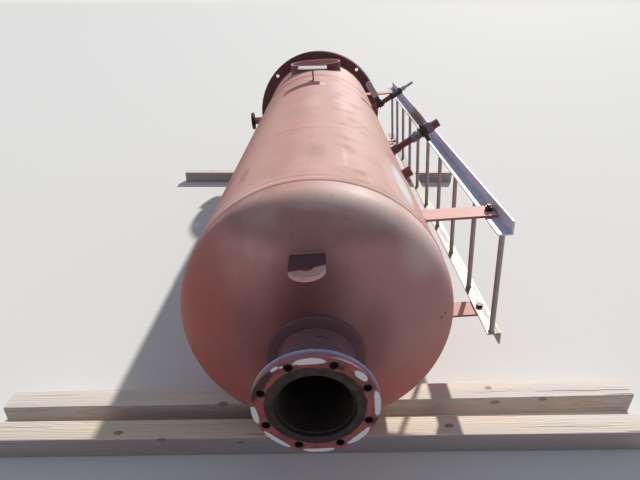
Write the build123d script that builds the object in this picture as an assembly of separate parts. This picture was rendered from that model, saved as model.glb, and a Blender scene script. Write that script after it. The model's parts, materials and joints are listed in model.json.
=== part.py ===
"""Reflux accumulator: a vertical pressure vessel with skirt and ladder, laid down on three timbers.

The vessel is drawn standing, on its own axis: Z is the elevation above the underside of the base
ring and azimuth 0 (+X) is the ladder's side. It is then laid down with its top head towards -Y and
rolled a little about its axis, as it was set down in the yard. Millimetres throughout.
"""
from build123d import *
import os
from math import cos, sin, radians, sqrt

# Shell and heads
SHELL_RADIUS = 457.2          # 36 inch outside diameter
SHELL_WALL = 9.5
HEAD_DEPTH = 228.6            # 2:1 ellipsoidal head, outside
HEAD_STRAIGHT = 50.8
BOTTOM_TANGENT = 863.6        # elevation of the bottom head's tangent line, where the skirt is welded on
SHELL_SEAM = 2452.0           # elevation of the joint between the two shell courses
SHELL_TOP = 3137.0            # elevation of the joint between the shell and the top head

# Weld beads round the vessel
BEAD_WIDTH = 14.0
BEAD_HEIGHT = 2.0
TOP_BEAD_WIDTH = 28.0
TOP_BEAD_HEIGHT = 3.0

# Skirt and base ring
SKIRT_WALL = 9.5
BASE_RING_RADIUS = 546.1      # 43 inch outside diameter
BASE_RING_INNER_RADIUS = 406.4
BASE_RING_THICKNESS = 25.4
ANCHOR_CIRCLE_RADIUS = BASE_RING_RADIUS - 38.1
ANCHOR_HOLE_RADIUS = 14.3
ANCHOR_COUNT = 4
ANCHOR_FIRST_AZIMUTH = 45.0

# Access opening in the skirt
ACCESS_RADIUS = 203.2         # 16 inch sleeve
ACCESS_WALL = 9.5
ACCESS_ELEVATION = 393.0
ACCESS_AZIMUTH = 90.0
ACCESS_REACH = SHELL_RADIUS + 32.8        # vessel axis to the sleeve's rim
ACCESS_INSET = 25.0           # how far the sleeve stands inside the skirt

# Top nozzle, 8 inch, with a class 150 slip-on flange
NOZZLE_RADIUS = 109.55
NOZZLE_WALL = 8.2
NOZZLE_PROJECTION = 187.0     # head crown to the flange's face
NOZZLE_INSIDE = 20.0          # how far the neck stands inside the head
NOZZLE_SETBACK = 9.5          # the neck ends this far behind the flange's face
FLANGE_RADIUS = 171.45
FLANGE_THICKNESS = 28.6       # with the raised face
RAISED_FACE_RADIUS = 134.95
RAISED_FACE_HEIGHT = 1.6
FLANGE_HUB_RADIUS = 123.0
FLANGE_HUB_LENGTH = 44.5      # face to the end of the hub
FLANGE_BOLT_CIRCLE_RADIUS = 149.225
FLANGE_BOLT_HOLE_RADIUS = 11.1
FLANGE_BOLT_COUNT = 8
BORE_CLEARANCE = 0.3
PAD_RADIUS = 142.0
PAD_THICKNESS = 9.5

# Lifting lugs on the top head
LUG_WIDTH = 101.6
LUG_THICKNESS = 12.7
LUG_HOLE_RADIUS = 17.5
LUG_OFFSET = 312.0            # vessel axis to the middle of the lug's thickness
LUG_END_DROP = 128.0          # flange face to the lug's round end
LUG_AZIMUTHS = (90.0, 270.0)

# Nameplate bracket
BRACKET_ELEVATION = SHELL_SEAM - 1321.0
BRACKET_AZIMUTH = 90.8
BRACKET_STANDOFF = 79.0       # shell to the underside of the plate, over the web
BRACKET_PLATE_WIDTH = 195.0
BRACKET_PLATE_LENGTH = 139.7
BRACKET_PLATE_THICKNESS = 6.4
BRACKET_PLATE_TILT = 3.9      # the plate stands level in the yard, not square to its web
BRACKET_WEB_LENGTH = 76.2
BRACKET_WEB_THICKNESS = 9.5

# Level connections: three 1 inch half couplings, two with a ball valve
COUPLING_AZIMUTH = 30.0
COUPLING_RADIUS = 22.25
COUPLING_LENGTH = 38.1
COUPLING_ELEVATIONS = {"near": SHELL_SEAM + 65.0, "middle": SHELL_SEAM - 297.0, "far": SHELL_SEAM - 1342.0}
COUPLING_THREAD = 35.5        # how deep its thread goes
SHELL_HOLE_RADIUS = 13.3      # drilled through the shell under each coupling
NIPPLE_RADIUS = 16.7
NIPPLE_WALL = 4.5
THREAD_DEPTH = 15.0           # how far a pipe end is screwed into what holds it
VALVE_LENGTH = 34.0
VALVE_BODY_RADIUS = 24.0
VALVE_STEM_RADIUS = 7.0
VALVE_STEM_REACH = 31.0       # pipe's axis to the underside of the handle
MIDDLE_NIPPLE_EXPOSED = 76.5
UNION_ACROSS_FLATS = 38.0
UNION_LENGTH = 48.0
TEE_HANDLE_RADIUS = 9.0
TEE_HANDLE_LENGTH = 88.0
BUSHING_RADIUS = 23.5
BUSHING_LENGTH = 35.0
PLUG_ACROSS_FLATS = 36.0
PLUG_LENGTH = 32.0
FAR_SPIGOT_EXPOSED = 9.5
FAR_NIPPLE_EXPOSED = 69.0
FAR_SLEEVE_RADIUS = 21.5
FAR_SLEEVE_LENGTH = 80.0
TAIL_STUB_RADIUS = 14.0
TAIL_STUB_LENGTH = 32.0
TAIL_RADIUS = 8.55
TAIL_WALL = 2.3
TAIL_LENGTH = 60.0

# Lever of the far valve, shut, so square to its pipe
LEVER_ARM_BACK = 16.0         # stem to the arm's short end
LEVER_ARM_REACH = 64.0        # stem to where the grip starts
LEVER_ARM_WIDTH = 28.0
LEVER_ARM_THICKNESS = 5.0
LEVER_GRIP_LENGTH = 120.0
LEVER_GRIP_WIDTH = 40.0
LEVER_GRIP_THICKNESS = 11.0

# Bottom outlet, 2 inch, taken out through the skirt
OUTLET_RADIUS = 30.15
OUTLET_WALL = 5.5
OUTLET_AZIMUTH = 180.0
OUTLET_ELEVATION = 152.4
OUTLET_BEND_RADIUS = 76.2
OUTLET_FACE_REACH = BASE_RING_RADIUS + 78.9     # vessel axis to the flange's face
OUTLET_FLANGE_RADIUS = 76.2
OUTLET_FLANGE_THICKNESS = 19.1
OUTLET_RAISED_FACE_RADIUS = 46.05
OUTLET_HUB_RADIUS = 39.0
OUTLET_HUB_LENGTH = 25.4
OUTLET_BOLT_CIRCLE_RADIUS = 60.35
OUTLET_BOLT_HOLE_RADIUS = 9.55
OUTLET_BOLT_COUNT = 4
OUTLET_SLEEVE_RADIUS = 50.8
OUTLET_SLEEVE_WALL = 6.4
OUTLET_SLEEVE_REACH = SHELL_RADIUS + 24.8
OUTLET_SLEEVE_LENGTH = 60.0

# Ladder on the side at azimuth 0
RAIL_LEG = 50.8
RAIL_THICKNESS = 6.4
RAIL_INNER_REACH = SHELL_RADIUS + 159.8    # vessel axis to the leg's inner edge
LADDER_CLEAR_WIDTH = 406.4
RAIL_BOTTOM = 175.0
RAIL_TOP = SHELL_TOP - 34.0
RUNG_RADIUS = 9.5
RUNG_PITCH = 304.8
RUNG_COUNT = 10
RUNG_REACH = RAIL_INNER_REACH + 19.0
RUNG_TOP_DROP = 13.0          # rail's top end to the first rung
CLIP_WIDTH = 88.9
CLIP_THICKNESS = 9.5
CLIP_ELEVATIONS = {"near": RAIL_TOP - 174.0, "far": RAIL_BOTTOM + 283.0}
CLIP_END_GAP = 3.0            # clip's end to the rail's upstanding leg
CLIP_BOLT_RADIUS = 7.9
CLIP_NUT_ACROSS_FLATS = 27.0
CLIP_NUT_HEIGHT = 13.5
CLIP_HEAD_HEIGHT = 10.0
CLIP_BOLT_TAIL = 8.0

# How the vessel lies
ROLL = 4.4
TIMBER_SIDE = 88.9            # 4x4 sawn timber
TIMBER_LENGTH = 2438.4
BACK_TIMBER_EXCESS = 42.0     # the back timber was cut longer than the others
TIMBER_ARRIS = 3.0
SEAT_GAP = 0.2
# length, distance behind the flange's face, offset to the ladder's side, and turn on the ground
TIMBERS = {
    "timber_front": (TIMBER_LENGTH, 335.0, 0.0, 1.07),
    "timber_back": (TIMBER_LENGTH + BACK_TIMBER_EXCESS, 502.0, 24.0, 1.77),
    "timber_far": (TIMBER_LENGTH, 3235.0, -12.0, 0.16),
}

TOP_TANGENT = SHELL_TOP + HEAD_STRAIGHT
CROWN = TOP_TANGENT + HEAD_DEPTH
FLANGE_FACE = CROWN + NOZZLE_PROJECTION
SHELL_INNER_RADIUS = SHELL_RADIUS - SHELL_WALL
SKIRT_INNER_RADIUS = SHELL_RADIUS - SKIRT_WALL
COUPLING_TIP = SHELL_RADIUS + COUPLING_LENGTH
SHELL_BOTTOM = BOTTOM_TANGENT + HEAD_STRAIGHT

Z_AXIS = Axis.Z


def head_height(radius):
    """Height of the head's outside above its tangent line."""
    return HEAD_DEPTH * sqrt(1 - (radius / SHELL_RADIUS) ** 2)


def turned(profile_points):
    """Solid of revolution about the vessel's axis of a closed outline of (radius, elevation) points."""
    outline = make_face(Polyline(*[(r, 0, z) for r, z in profile_points], close=True))
    return revolve(outline, Z_AXIS, 360)


def ring(outer, inner, bottom, top):
    """Plain ring about the vessel's axis."""
    return turned([(inner, bottom), (outer, bottom), (outer, top), (inner, top)])


def radial(azimuth, elevation, reach=0.0):
    """Place on a radius: local Z points away from the vessel, local X along its axis, upwards."""
    outward = (cos(radians(azimuth)), sin(radians(azimuth)), 0)
    origin = (reach * outward[0], reach * outward[1], elevation)
    return Location(Plane(origin=origin, x_dir=(0, 0, 1), z_dir=outward))


def rod(radius, start, end):
    """Round bar along local Z."""
    return Pos(0, 0, (start + end) / 2) * Cylinder(radius, end - start)


def tube(radius, wall, start, end):
    return rod(radius, start, end) - rod(radius - wall, start, end)


def hexagon(across_flats, start, end):
    """Hexagonal prism along local Z."""
    outline = RegularPolygon(across_flats / 2, 6, major_radius=False)
    return extrude(Pos(0, 0, start) * outline, amount=end - start)


def dome_blank(offset=0.0):
    """Half ellipsoid of a head's outside, or of a surface that far off it, crown up on the ground plane."""
    width = SHELL_RADIUS + offset
    height = HEAD_DEPTH + offset
    arc = EllipticalCenterArc((0, 0), width, height, arc_size=90)
    outline = make_face(Curve() + [arc, Polyline((0, height), (0, 0), (width, 0))])
    return revolve(Plane.XZ * outline, Z_AXIS, 360)


def domed_head(tangent, direction, opening):
    """Ellipsoidal head with its straight flange; direction +1 is crown up, -1 is crown down."""
    edge = tangent - direction * HEAD_STRAIGHT
    inner_depth = HEAD_DEPTH - SHELL_WALL
    outer_arc = EllipticalCenterArc((0, 0), SHELL_RADIUS, HEAD_DEPTH, arc_size=90)
    inner_arc = EllipticalCenterArc((0, 0), SHELL_INNER_RADIUS, inner_depth, arc_size=90)
    flange_side = Polyline(
        (SHELL_RADIUS, 0),
        (SHELL_RADIUS, -HEAD_STRAIGHT),
        (SHELL_INNER_RADIUS, -HEAD_STRAIGHT),
        (SHELL_INNER_RADIUS, 0),
    )
    crown_side = Line((0, inner_depth), (0, HEAD_DEPTH))
    outline = make_face(Curve() + [outer_arc, inner_arc, flange_side, crown_side])
    head = revolve(Plane.XZ * outline, Z_AXIS, 360)
    if direction < 0:
        head = mirror(head, Plane.XY)
    head = Pos(0, 0, tangent) * head
    low, high = sorted((edge, tangent + direction * (HEAD_DEPTH + SHELL_WALL)))
    return head - rod(opening, low, high)


def weld_bead(elevation, width, height):
    """Low rounded bead round the outside of the shell."""
    half = width / 2
    crest = ThreePointArc(
        (SHELL_RADIUS, elevation - half), (SHELL_RADIUS + height, elevation), (SHELL_RADIUS, elevation + half)
    )
    root = Line((SHELL_RADIUS, elevation + half), (SHELL_RADIUS, elevation - half))
    return revolve(Plane.XZ * make_face(Curve() + [crest, root]), Z_AXIS, 360)


def shell_course(bottom, top, couplings):
    """Rolled plate course with the holes of the couplings that stand on it."""
    course = ring(SHELL_RADIUS, SHELL_INNER_RADIUS, bottom, top)
    for name in couplings:
        hole = rod(SHELL_HOLE_RADIUS, SHELL_INNER_RADIUS - SHELL_WALL, COUPLING_TIP)
        course -= radial(COUPLING_AZIMUTH, COUPLING_ELEVATIONS[name]) * hole
    return course


def skirt():
    """Skirt cylinder, bevelled at its top to the bottom head that it carries."""
    body = ring(SHELL_RADIUS, SKIRT_INNER_RADIUS, BASE_RING_THICKNESS, BOTTOM_TANGENT)
    body -= Pos(0, 0, BOTTOM_TANGENT) * mirror(dome_blank(), Plane.XY)
    body -= radial(ACCESS_AZIMUTH, ACCESS_ELEVATION) * rod(ACCESS_RADIUS, 0, BASE_RING_RADIUS)
    body -= radial(OUTLET_AZIMUTH, OUTLET_ELEVATION) * rod(OUTLET_SLEEVE_RADIUS, 0, BASE_RING_RADIUS)
    return body


def access_sleeve():
    """Short pipe through the skirt, flush with a cylinder a little inside it."""
    pipe = tube(ACCESS_RADIUS, ACCESS_WALL, 0, ACCESS_REACH)
    sleeve = radial(ACCESS_AZIMUTH, ACCESS_ELEVATION) * pipe
    return sleeve - rod(SKIRT_INNER_RADIUS - ACCESS_INSET, 0, BOTTOM_TANGENT)


def base_ring():
    plate = ring(BASE_RING_RADIUS, BASE_RING_INNER_RADIUS, 0, BASE_RING_THICKNESS)
    for i in range(ANCHOR_COUNT):
        azimuth = radians(ANCHOR_FIRST_AZIMUTH + i * 360 / ANCHOR_COUNT)
        x = ANCHOR_CIRCLE_RADIUS * cos(azimuth)
        y = ANCHOR_CIRCLE_RADIUS * sin(azimuth)
        plate -= Pos(x, y, 0) * rod(ANCHOR_HOLE_RADIUS, 0, BASE_RING_THICKNESS)
    return plate


def top_nozzle_neck():
    start = TOP_TANGENT + head_height(NOZZLE_RADIUS) - SHELL_WALL - NOZZLE_INSIDE
    return tube(NOZZLE_RADIUS, NOZZLE_WALL, start, FLANGE_FACE - NOZZLE_SETBACK)


def flange(face, radius, thickness, raised_radius, hub_radius, hub_length, bore, circle, hole, count):
    """Slip-on flange with its raised face towards +Z at the given height, holes astride the centreline."""
    face_back = face - RAISED_FACE_HEIGHT
    outline = [
        (bore, face - hub_length),
        (hub_radius, face - hub_length),
        (hub_radius, face - thickness),
        (radius, face - thickness),
        (radius, face_back),
        (raised_radius, face_back),
        (raised_radius, face),
        (bore, face),
    ]
    body = turned(outline)
    for i in range(count):
        angle = radians((i + 0.5) * 360 / count)
        body -= Pos(circle * cos(angle), circle * sin(angle), 0) * rod(hole, face - thickness, face_back)
    return body


def top_nozzle_flange():
    return flange(
        FLANGE_FACE, FLANGE_RADIUS, FLANGE_THICKNESS, RAISED_FACE_RADIUS, FLANGE_HUB_RADIUS, FLANGE_HUB_LENGTH,
        NOZZLE_RADIUS + BORE_CLEARANCE, FLANGE_BOLT_CIRCLE_RADIUS, FLANGE_BOLT_HOLE_RADIUS, FLANGE_BOLT_COUNT,
    )


def top_nozzle_pad():
    """Reinforcing ring that follows the head round the neck."""
    pad = Pos(0, 0, TOP_TANGENT) * (dome_blank(PAD_THICKNESS) - dome_blank())
    pad &= rod(PAD_RADIUS, TOP_TANGENT, CROWN + PAD_THICKNESS)
    return pad - rod(NOZZLE_RADIUS, TOP_TANGENT, CROWN + PAD_THICKNESS)


def lifting_lug(azimuth):
    """Round-ended plate that stands up from the head, trimmed to its curve."""
    tip = FLANGE_FACE - LUG_END_DROP
    half = LUG_WIDTH / 2
    eye = tip - half
    foot = TOP_TANGENT + HEAD_DEPTH / 4
    outline = make_face(Curve() + [
        ThreePointArc((half, eye), (0, tip), (-half, eye)),
        Polyline((-half, eye), (-half, foot), (half, foot), (half, eye)),
    ])
    outline -= Pos(0, eye) * Circle(LUG_HOLE_RADIUS)
    plate = extrude(Plane.XZ * outline, amount=LUG_THICKNESS / 2, both=True)
    placed = Rot(0, 0, azimuth - 90) * (Pos(0, LUG_OFFSET, 0) * plate)
    return placed - Pos(0, 0, TOP_TANGENT) * dome_blank()


def bracket_place():
    return radial(BRACKET_AZIMUTH, BRACKET_ELEVATION, SHELL_RADIUS)


def on_bracket(thickness):
    """Flat block of the plate's outline whose underside is the plate's."""
    block = Box(BRACKET_PLATE_LENGTH, BRACKET_PLATE_WIDTH, thickness)
    tilt = Pos(0, 0, BRACKET_STANDOFF) * Rot(-BRACKET_PLATE_TILT, 0, 0)
    return bracket_place() * (tilt * (Pos(0, 0, thickness / 2) * block))


def nameplate_plate():
    return on_bracket(BRACKET_PLATE_THICKNESS)


def nameplate_web():
    """Web on edge from the shell to the plate, cut to the shell's curve and to the plate's tilt."""
    top = BRACKET_STANDOFF + SHELL_WALL
    web = Box(BRACKET_WEB_LENGTH, BRACKET_WEB_THICKNESS, top + SHELL_WALL)
    placed = bracket_place() * (Pos(0, 0, (top - SHELL_WALL) / 2) * web)
    placed -= on_bracket(2 * SHELL_WALL)
    return placed - Pos(0, 0, BRACKET_ELEVATION) * Cylinder(SHELL_RADIUS, 2 * BRACKET_PLATE_LENGTH)


def on_connection(name, piece):
    """Puts a piece drawn along local Z, measured from the vessel's axis, on one of the connections."""
    return radial(COUPLING_AZIMUTH, COUPLING_ELEVATIONS[name]) * piece


def half_coupling(name):
    body = rod(COUPLING_RADIUS, SHELL_INNER_RADIUS, COUPLING_TIP)
    body -= rod(SHELL_HOLE_RADIUS, SHELL_INNER_RADIUS, COUPLING_TIP)
    body -= rod(NIPPLE_RADIUS, COUPLING_TIP - COUPLING_THREAD, COUPLING_TIP)
    placed = on_connection(name, body)
    return placed - Pos(0, 0, COUPLING_ELEVATIONS[name]) * Cylinder(SHELL_RADIUS, 4 * COUPLING_RADIUS)


MIDDLE_UNION_START = COUPLING_TIP + MIDDLE_NIPPLE_EXPOSED
MIDDLE_VALVE_START = MIDDLE_UNION_START + UNION_LENGTH
MIDDLE_VALVE_END = MIDDLE_VALVE_START + VALVE_LENGTH
FAR_VALVE_START = COUPLING_TIP + FAR_SPIGOT_EXPOSED
FAR_VALVE_END = FAR_VALVE_START + VALVE_LENGTH
FAR_SLEEVE_START = FAR_VALVE_END + FAR_NIPPLE_EXPOSED
FAR_SLEEVE_END = FAR_SLEEVE_START + FAR_SLEEVE_LENGTH
PIPE_BORE_RADIUS = NIPPLE_RADIUS - NIPPLE_WALL


def valve(start, spigot=0.0):
    """Ball valve's body and stem; a spigot is the length of pipe end that it is screwed in with."""
    end = start + VALVE_LENGTH
    body = rod(VALVE_BODY_RADIUS, start, end)
    stem = Rot(0, 90, 0) * rod(VALVE_STEM_RADIUS, 0, VALVE_STEM_REACH)
    body += Pos(0, 0, (start + end) / 2) * stem
    if spigot:
        body += rod(NIPPLE_RADIUS, start - spigot, start)
    else:
        body -= rod(NIPPLE_RADIUS, start, start + THREAD_DEPTH)
    body -= rod(NIPPLE_RADIUS, end - THREAD_DEPTH, end)
    return body - rod(PIPE_BORE_RADIUS, start - spigot, end)


def middle_nipple():
    pipe = tube(NIPPLE_RADIUS, NIPPLE_WALL, COUPLING_TIP - THREAD_DEPTH, MIDDLE_UNION_START + THREAD_DEPTH)
    return on_connection("middle", pipe)


def middle_union():
    """Hexagonal union, screwed on the nipple and into the valve."""
    body = hexagon(UNION_ACROSS_FLATS, MIDDLE_UNION_START, MIDDLE_VALVE_START)
    body += rod(NIPPLE_RADIUS, MIDDLE_VALVE_START, MIDDLE_VALVE_START + THREAD_DEPTH)
    body -= rod(NIPPLE_RADIUS, MIDDLE_UNION_START, MIDDLE_UNION_START + THREAD_DEPTH)
    body -= rod(PIPE_BORE_RADIUS, MIDDLE_UNION_START, MIDDLE_VALVE_START + THREAD_DEPTH)
    return on_connection("middle", body)


def middle_valve():
    """Valve with a tee handle, shut."""
    handle = Rot(90, 0, 0) * rod(TEE_HANDLE_RADIUS, -TEE_HANDLE_LENGTH / 2, TEE_HANDLE_LENGTH / 2)
    middle = (MIDDLE_VALVE_START + MIDDLE_VALVE_END) / 2
    body = valve(MIDDLE_VALVE_START)
    return on_connection("middle", body + Pos(VALVE_STEM_REACH, 0, middle) * handle)


def middle_plug():
    """Bushing in the valve's outer end, closed by a hexagonal plug."""
    bushing_end = MIDDLE_VALVE_END + BUSHING_LENGTH
    body = rod(NIPPLE_RADIUS, MIDDLE_VALVE_END - THREAD_DEPTH, MIDDLE_VALVE_END)
    body += rod(BUSHING_RADIUS, MIDDLE_VALVE_END, bushing_end)
    body += hexagon(PLUG_ACROSS_FLATS, bushing_end, bushing_end + PLUG_LENGTH)
    body -= rod(PIPE_BORE_RADIUS, MIDDLE_VALVE_END - THREAD_DEPTH, bushing_end)
    return on_connection("middle", body)


def on_far_stem(piece):
    """Puts a piece of the lever, drawn with Z along the arm and Y away from the valve, on the far valve's stem."""
    middle = (FAR_VALVE_START + FAR_VALVE_END) / 2
    return Pos(VALVE_STEM_REACH, 0, middle) * (Rot(0, 90, 0) * (Rot(90, 0, 0) * piece))


def far_valve():
    """Valve with the steel arm of its lever."""
    length = LEVER_ARM_BACK + LEVER_ARM_REACH
    arm = Box(LEVER_ARM_WIDTH, LEVER_ARM_THICKNESS, length)
    arm = Pos(0, LEVER_ARM_THICKNESS / 2, length / 2 - LEVER_ARM_BACK) * arm
    body = valve(FAR_VALVE_START, spigot=FAR_SPIGOT_EXPOSED + THREAD_DEPTH)
    return on_connection("far", body + on_far_stem(arm))


def far_valve_grip():
    """Grip on the lever's outer part, round at its end."""
    width = LEVER_GRIP_WIDTH / 2
    shoulder = LEVER_ARM_REACH + LEVER_GRIP_LENGTH - width
    outline = make_face(Curve() + [
        ThreePointArc((width, shoulder), (0, shoulder + width), (-width, shoulder)),
        Polyline((-width, shoulder), (-width, LEVER_ARM_REACH), (width, LEVER_ARM_REACH), (width, shoulder)),
    ])
    grip = extrude(Plane.XZ * outline, amount=-LEVER_GRIP_THICKNESS)
    grip = Pos(0, (LEVER_ARM_THICKNESS - LEVER_GRIP_THICKNESS) / 2, 0) * grip
    return on_connection("far", on_far_stem(grip))


def far_nipple():
    pipe = tube(NIPPLE_RADIUS, NIPPLE_WALL, FAR_VALVE_END - THREAD_DEPTH, FAR_SLEEVE_START + THREAD_DEPTH)
    return on_connection("far", pipe)


def far_sleeve():
    """Long round coupling between the nipple and the tail."""
    body = rod(FAR_SLEEVE_RADIUS, FAR_SLEEVE_START, FAR_SLEEVE_END)
    body -= rod(NIPPLE_RADIUS, FAR_SLEEVE_START, FAR_SLEEVE_START + THREAD_DEPTH)
    body -= rod(PIPE_BORE_RADIUS, FAR_SLEEVE_START, FAR_SLEEVE_END)
    return on_connection("far", body)


def far_tail_pipe():
    """Stub in the sleeve's outer end, with a thin pipe that sticks out of it."""
    stub_end = FAR_SLEEVE_END + TAIL_STUB_LENGTH
    body = rod(PIPE_BORE_RADIUS, FAR_SLEEVE_END - THREAD_DEPTH, FAR_SLEEVE_END)
    body += rod(TAIL_STUB_RADIUS, FAR_SLEEVE_END, stub_end)
    body += rod(TAIL_RADIUS, stub_end, stub_end + TAIL_LENGTH)
    body -= rod(TAIL_RADIUS - TAIL_WALL, FAR_SLEEVE_END - THREAD_DEPTH, stub_end + TAIL_LENGTH)
    return on_connection("far", body)


def bottom_outlet_pipe():
    """Neck from the bottom head, a long-radius elbow, and the run out through the skirt."""
    crown = BOTTOM_TANGENT - HEAD_DEPTH
    top = crown + SHELL_WALL + NOZZLE_INSIDE
    run_end = OUTLET_FACE_REACH - NOZZLE_SETBACK
    corners = [(0, 0, top), (0, 0, OUTLET_ELEVATION), (run_end, 0, OUTLET_ELEVATION)]
    path = FilletPolyline(*corners, radius=OUTLET_BEND_RADIUS)
    section = Plane(origin=(0, 0, top), z_dir=(0, 0, -1))
    outer = sweep(section * Circle(OUTLET_RADIUS), path)
    inner = sweep(section * Circle(OUTLET_RADIUS - OUTLET_WALL), path)
    return Rot(0, 0, OUTLET_AZIMUTH) * (outer - inner)


def bottom_outlet_flange():
    body = flange(
        OUTLET_FACE_REACH, OUTLET_FLANGE_RADIUS, OUTLET_FLANGE_THICKNESS, OUTLET_RAISED_FACE_RADIUS,
        OUTLET_HUB_RADIUS, OUTLET_HUB_LENGTH, OUTLET_RADIUS + BORE_CLEARANCE,
        OUTLET_BOLT_CIRCLE_RADIUS, OUTLET_BOLT_HOLE_RADIUS, OUTLET_BOLT_COUNT,
    )
    return radial(OUTLET_AZIMUTH, OUTLET_ELEVATION) * body


def outlet_skirt_sleeve():
    start = OUTLET_SLEEVE_REACH - OUTLET_SLEEVE_LENGTH
    pipe = tube(OUTLET_SLEEVE_RADIUS, OUTLET_SLEEVE_WALL, start, OUTLET_SLEEVE_REACH)
    return radial(OUTLET_AZIMUTH, OUTLET_ELEVATION) * pipe


def ladder_rail(side):
    """Angle rail; side +1 is the upper one as the vessel lies, -1 the lower one."""
    inner_face = side * LADDER_CLEAR_WIDTH / 2
    outer_edge = RAIL_INNER_REACH + RAIL_LEG
    t = side * RAIL_THICKNESS
    leg = side * RAIL_LEG
    corners = [
        (RAIL_INNER_REACH, inner_face),
        (outer_edge, inner_face),
        (outer_edge, inner_face + leg),
        (outer_edge - RAIL_THICKNESS, inner_face + leg),
        (outer_edge - RAIL_THICKNESS, inner_face + t),
        (RAIL_INNER_REACH, inner_face + t),
    ]
    outline = make_face(Polyline(*corners, close=True))
    rail = extrude(Pos(0, 0, RAIL_BOTTOM) * outline, amount=RAIL_TOP - RAIL_BOTTOM)
    for elevation in CLIP_ELEVATIONS.values():
        rail -= clip_bolt_axis(side, elevation) * rod(CLIP_BOLT_RADIUS, 0, RAIL_THICKNESS)
    return rail


def clip_bolt_reach():
    return RAIL_INNER_REACH + (RAIL_LEG - RAIL_THICKNESS) / 2


def clip_bolt_axis(side, elevation):
    """Local Z points away from the rungs, starting at the face of the leg that they meet."""
    origin = (clip_bolt_reach(), side * LADDER_CLEAR_WIDTH / 2, elevation)
    return Location(Plane(origin=origin, z_dir=(0, side, 0)))


def ladder_rungs():
    rungs = []
    for i in range(RUNG_COUNT):
        elevation = RAIL_TOP - RUNG_TOP_DROP - i * RUNG_PITCH
        bar = Rot(90, 0, 0) * Cylinder(RUNG_RADIUS, LADDER_CLEAR_WIDTH)
        rungs.append(Pos(RUNG_REACH, 0, elevation) * bar)
    return Compound(children=rungs)


def ladder_clip(side, elevation):
    """Flat bar from the shell to the outside of the rail's leg."""
    length = RAIL_INNER_REACH + RAIL_LEG - RAIL_THICKNESS - CLIP_END_GAP
    bar = Pos(length / 2, 0, 0) * Box(length, CLIP_THICKNESS, CLIP_WIDTH)
    offset = side * (LADDER_CLEAR_WIDTH / 2 + RAIL_THICKNESS + CLIP_THICKNESS / 2)
    placed = Pos(0, offset, elevation) * bar
    placed -= Pos(0, 0, elevation) * Cylinder(SHELL_RADIUS, 2 * CLIP_WIDTH)
    placed -= clip_bolt_axis(side, elevation) * rod(CLIP_BOLT_RADIUS, 0, RAIL_THICKNESS + CLIP_THICKNESS)
    return placed


def clip_bolts():
    """The four bolts that hold the rails to their clips, head inside and nut outside."""
    stack = RAIL_THICKNESS + CLIP_THICKNESS
    bolts = []
    for side in (1, -1):
        for elevation in CLIP_ELEVATIONS.values():
            bolt = rod(CLIP_BOLT_RADIUS, 0, stack + CLIP_NUT_HEIGHT + CLIP_BOLT_TAIL)
            bolt += hexagon(CLIP_NUT_ACROSS_FLATS, -CLIP_HEAD_HEIGHT, 0)
            bolt += hexagon(CLIP_NUT_ACROSS_FLATS, stack, stack + CLIP_NUT_HEIGHT)
            bolts.append(clip_bolt_axis(side, elevation) * bolt)
    return Compound(children=bolts)


def lay_down():
    return Rot(90, 0, 0) * Rot(0, 0, ROLL)


def bead_dent():
    """What the top girth weld presses into the timber under it."""
    bottom = SHELL_TOP - TOP_BEAD_WIDTH - SEAT_GAP
    return rod(SHELL_RADIUS + TOP_BEAD_HEIGHT + SEAT_GAP, bottom, SHELL_TOP + SEAT_GAP)


def timber(length, behind, offset, turn):
    """Sawn timber with eased arrises, in the frame of the vessel as it lies."""
    block = Box(length, TIMBER_SIDE, TIMBER_SIDE)
    block = chamfer(block.edges().filter_by(Axis.X), TIMBER_ARRIS)
    height = -SHELL_RADIUS - SEAT_GAP - TIMBER_SIDE / 2
    placed = Pos(offset, behind - FLANGE_FACE, height) * (Rot(0, 0, turn) * block)
    return placed - lay_down() * bead_dent()


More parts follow.
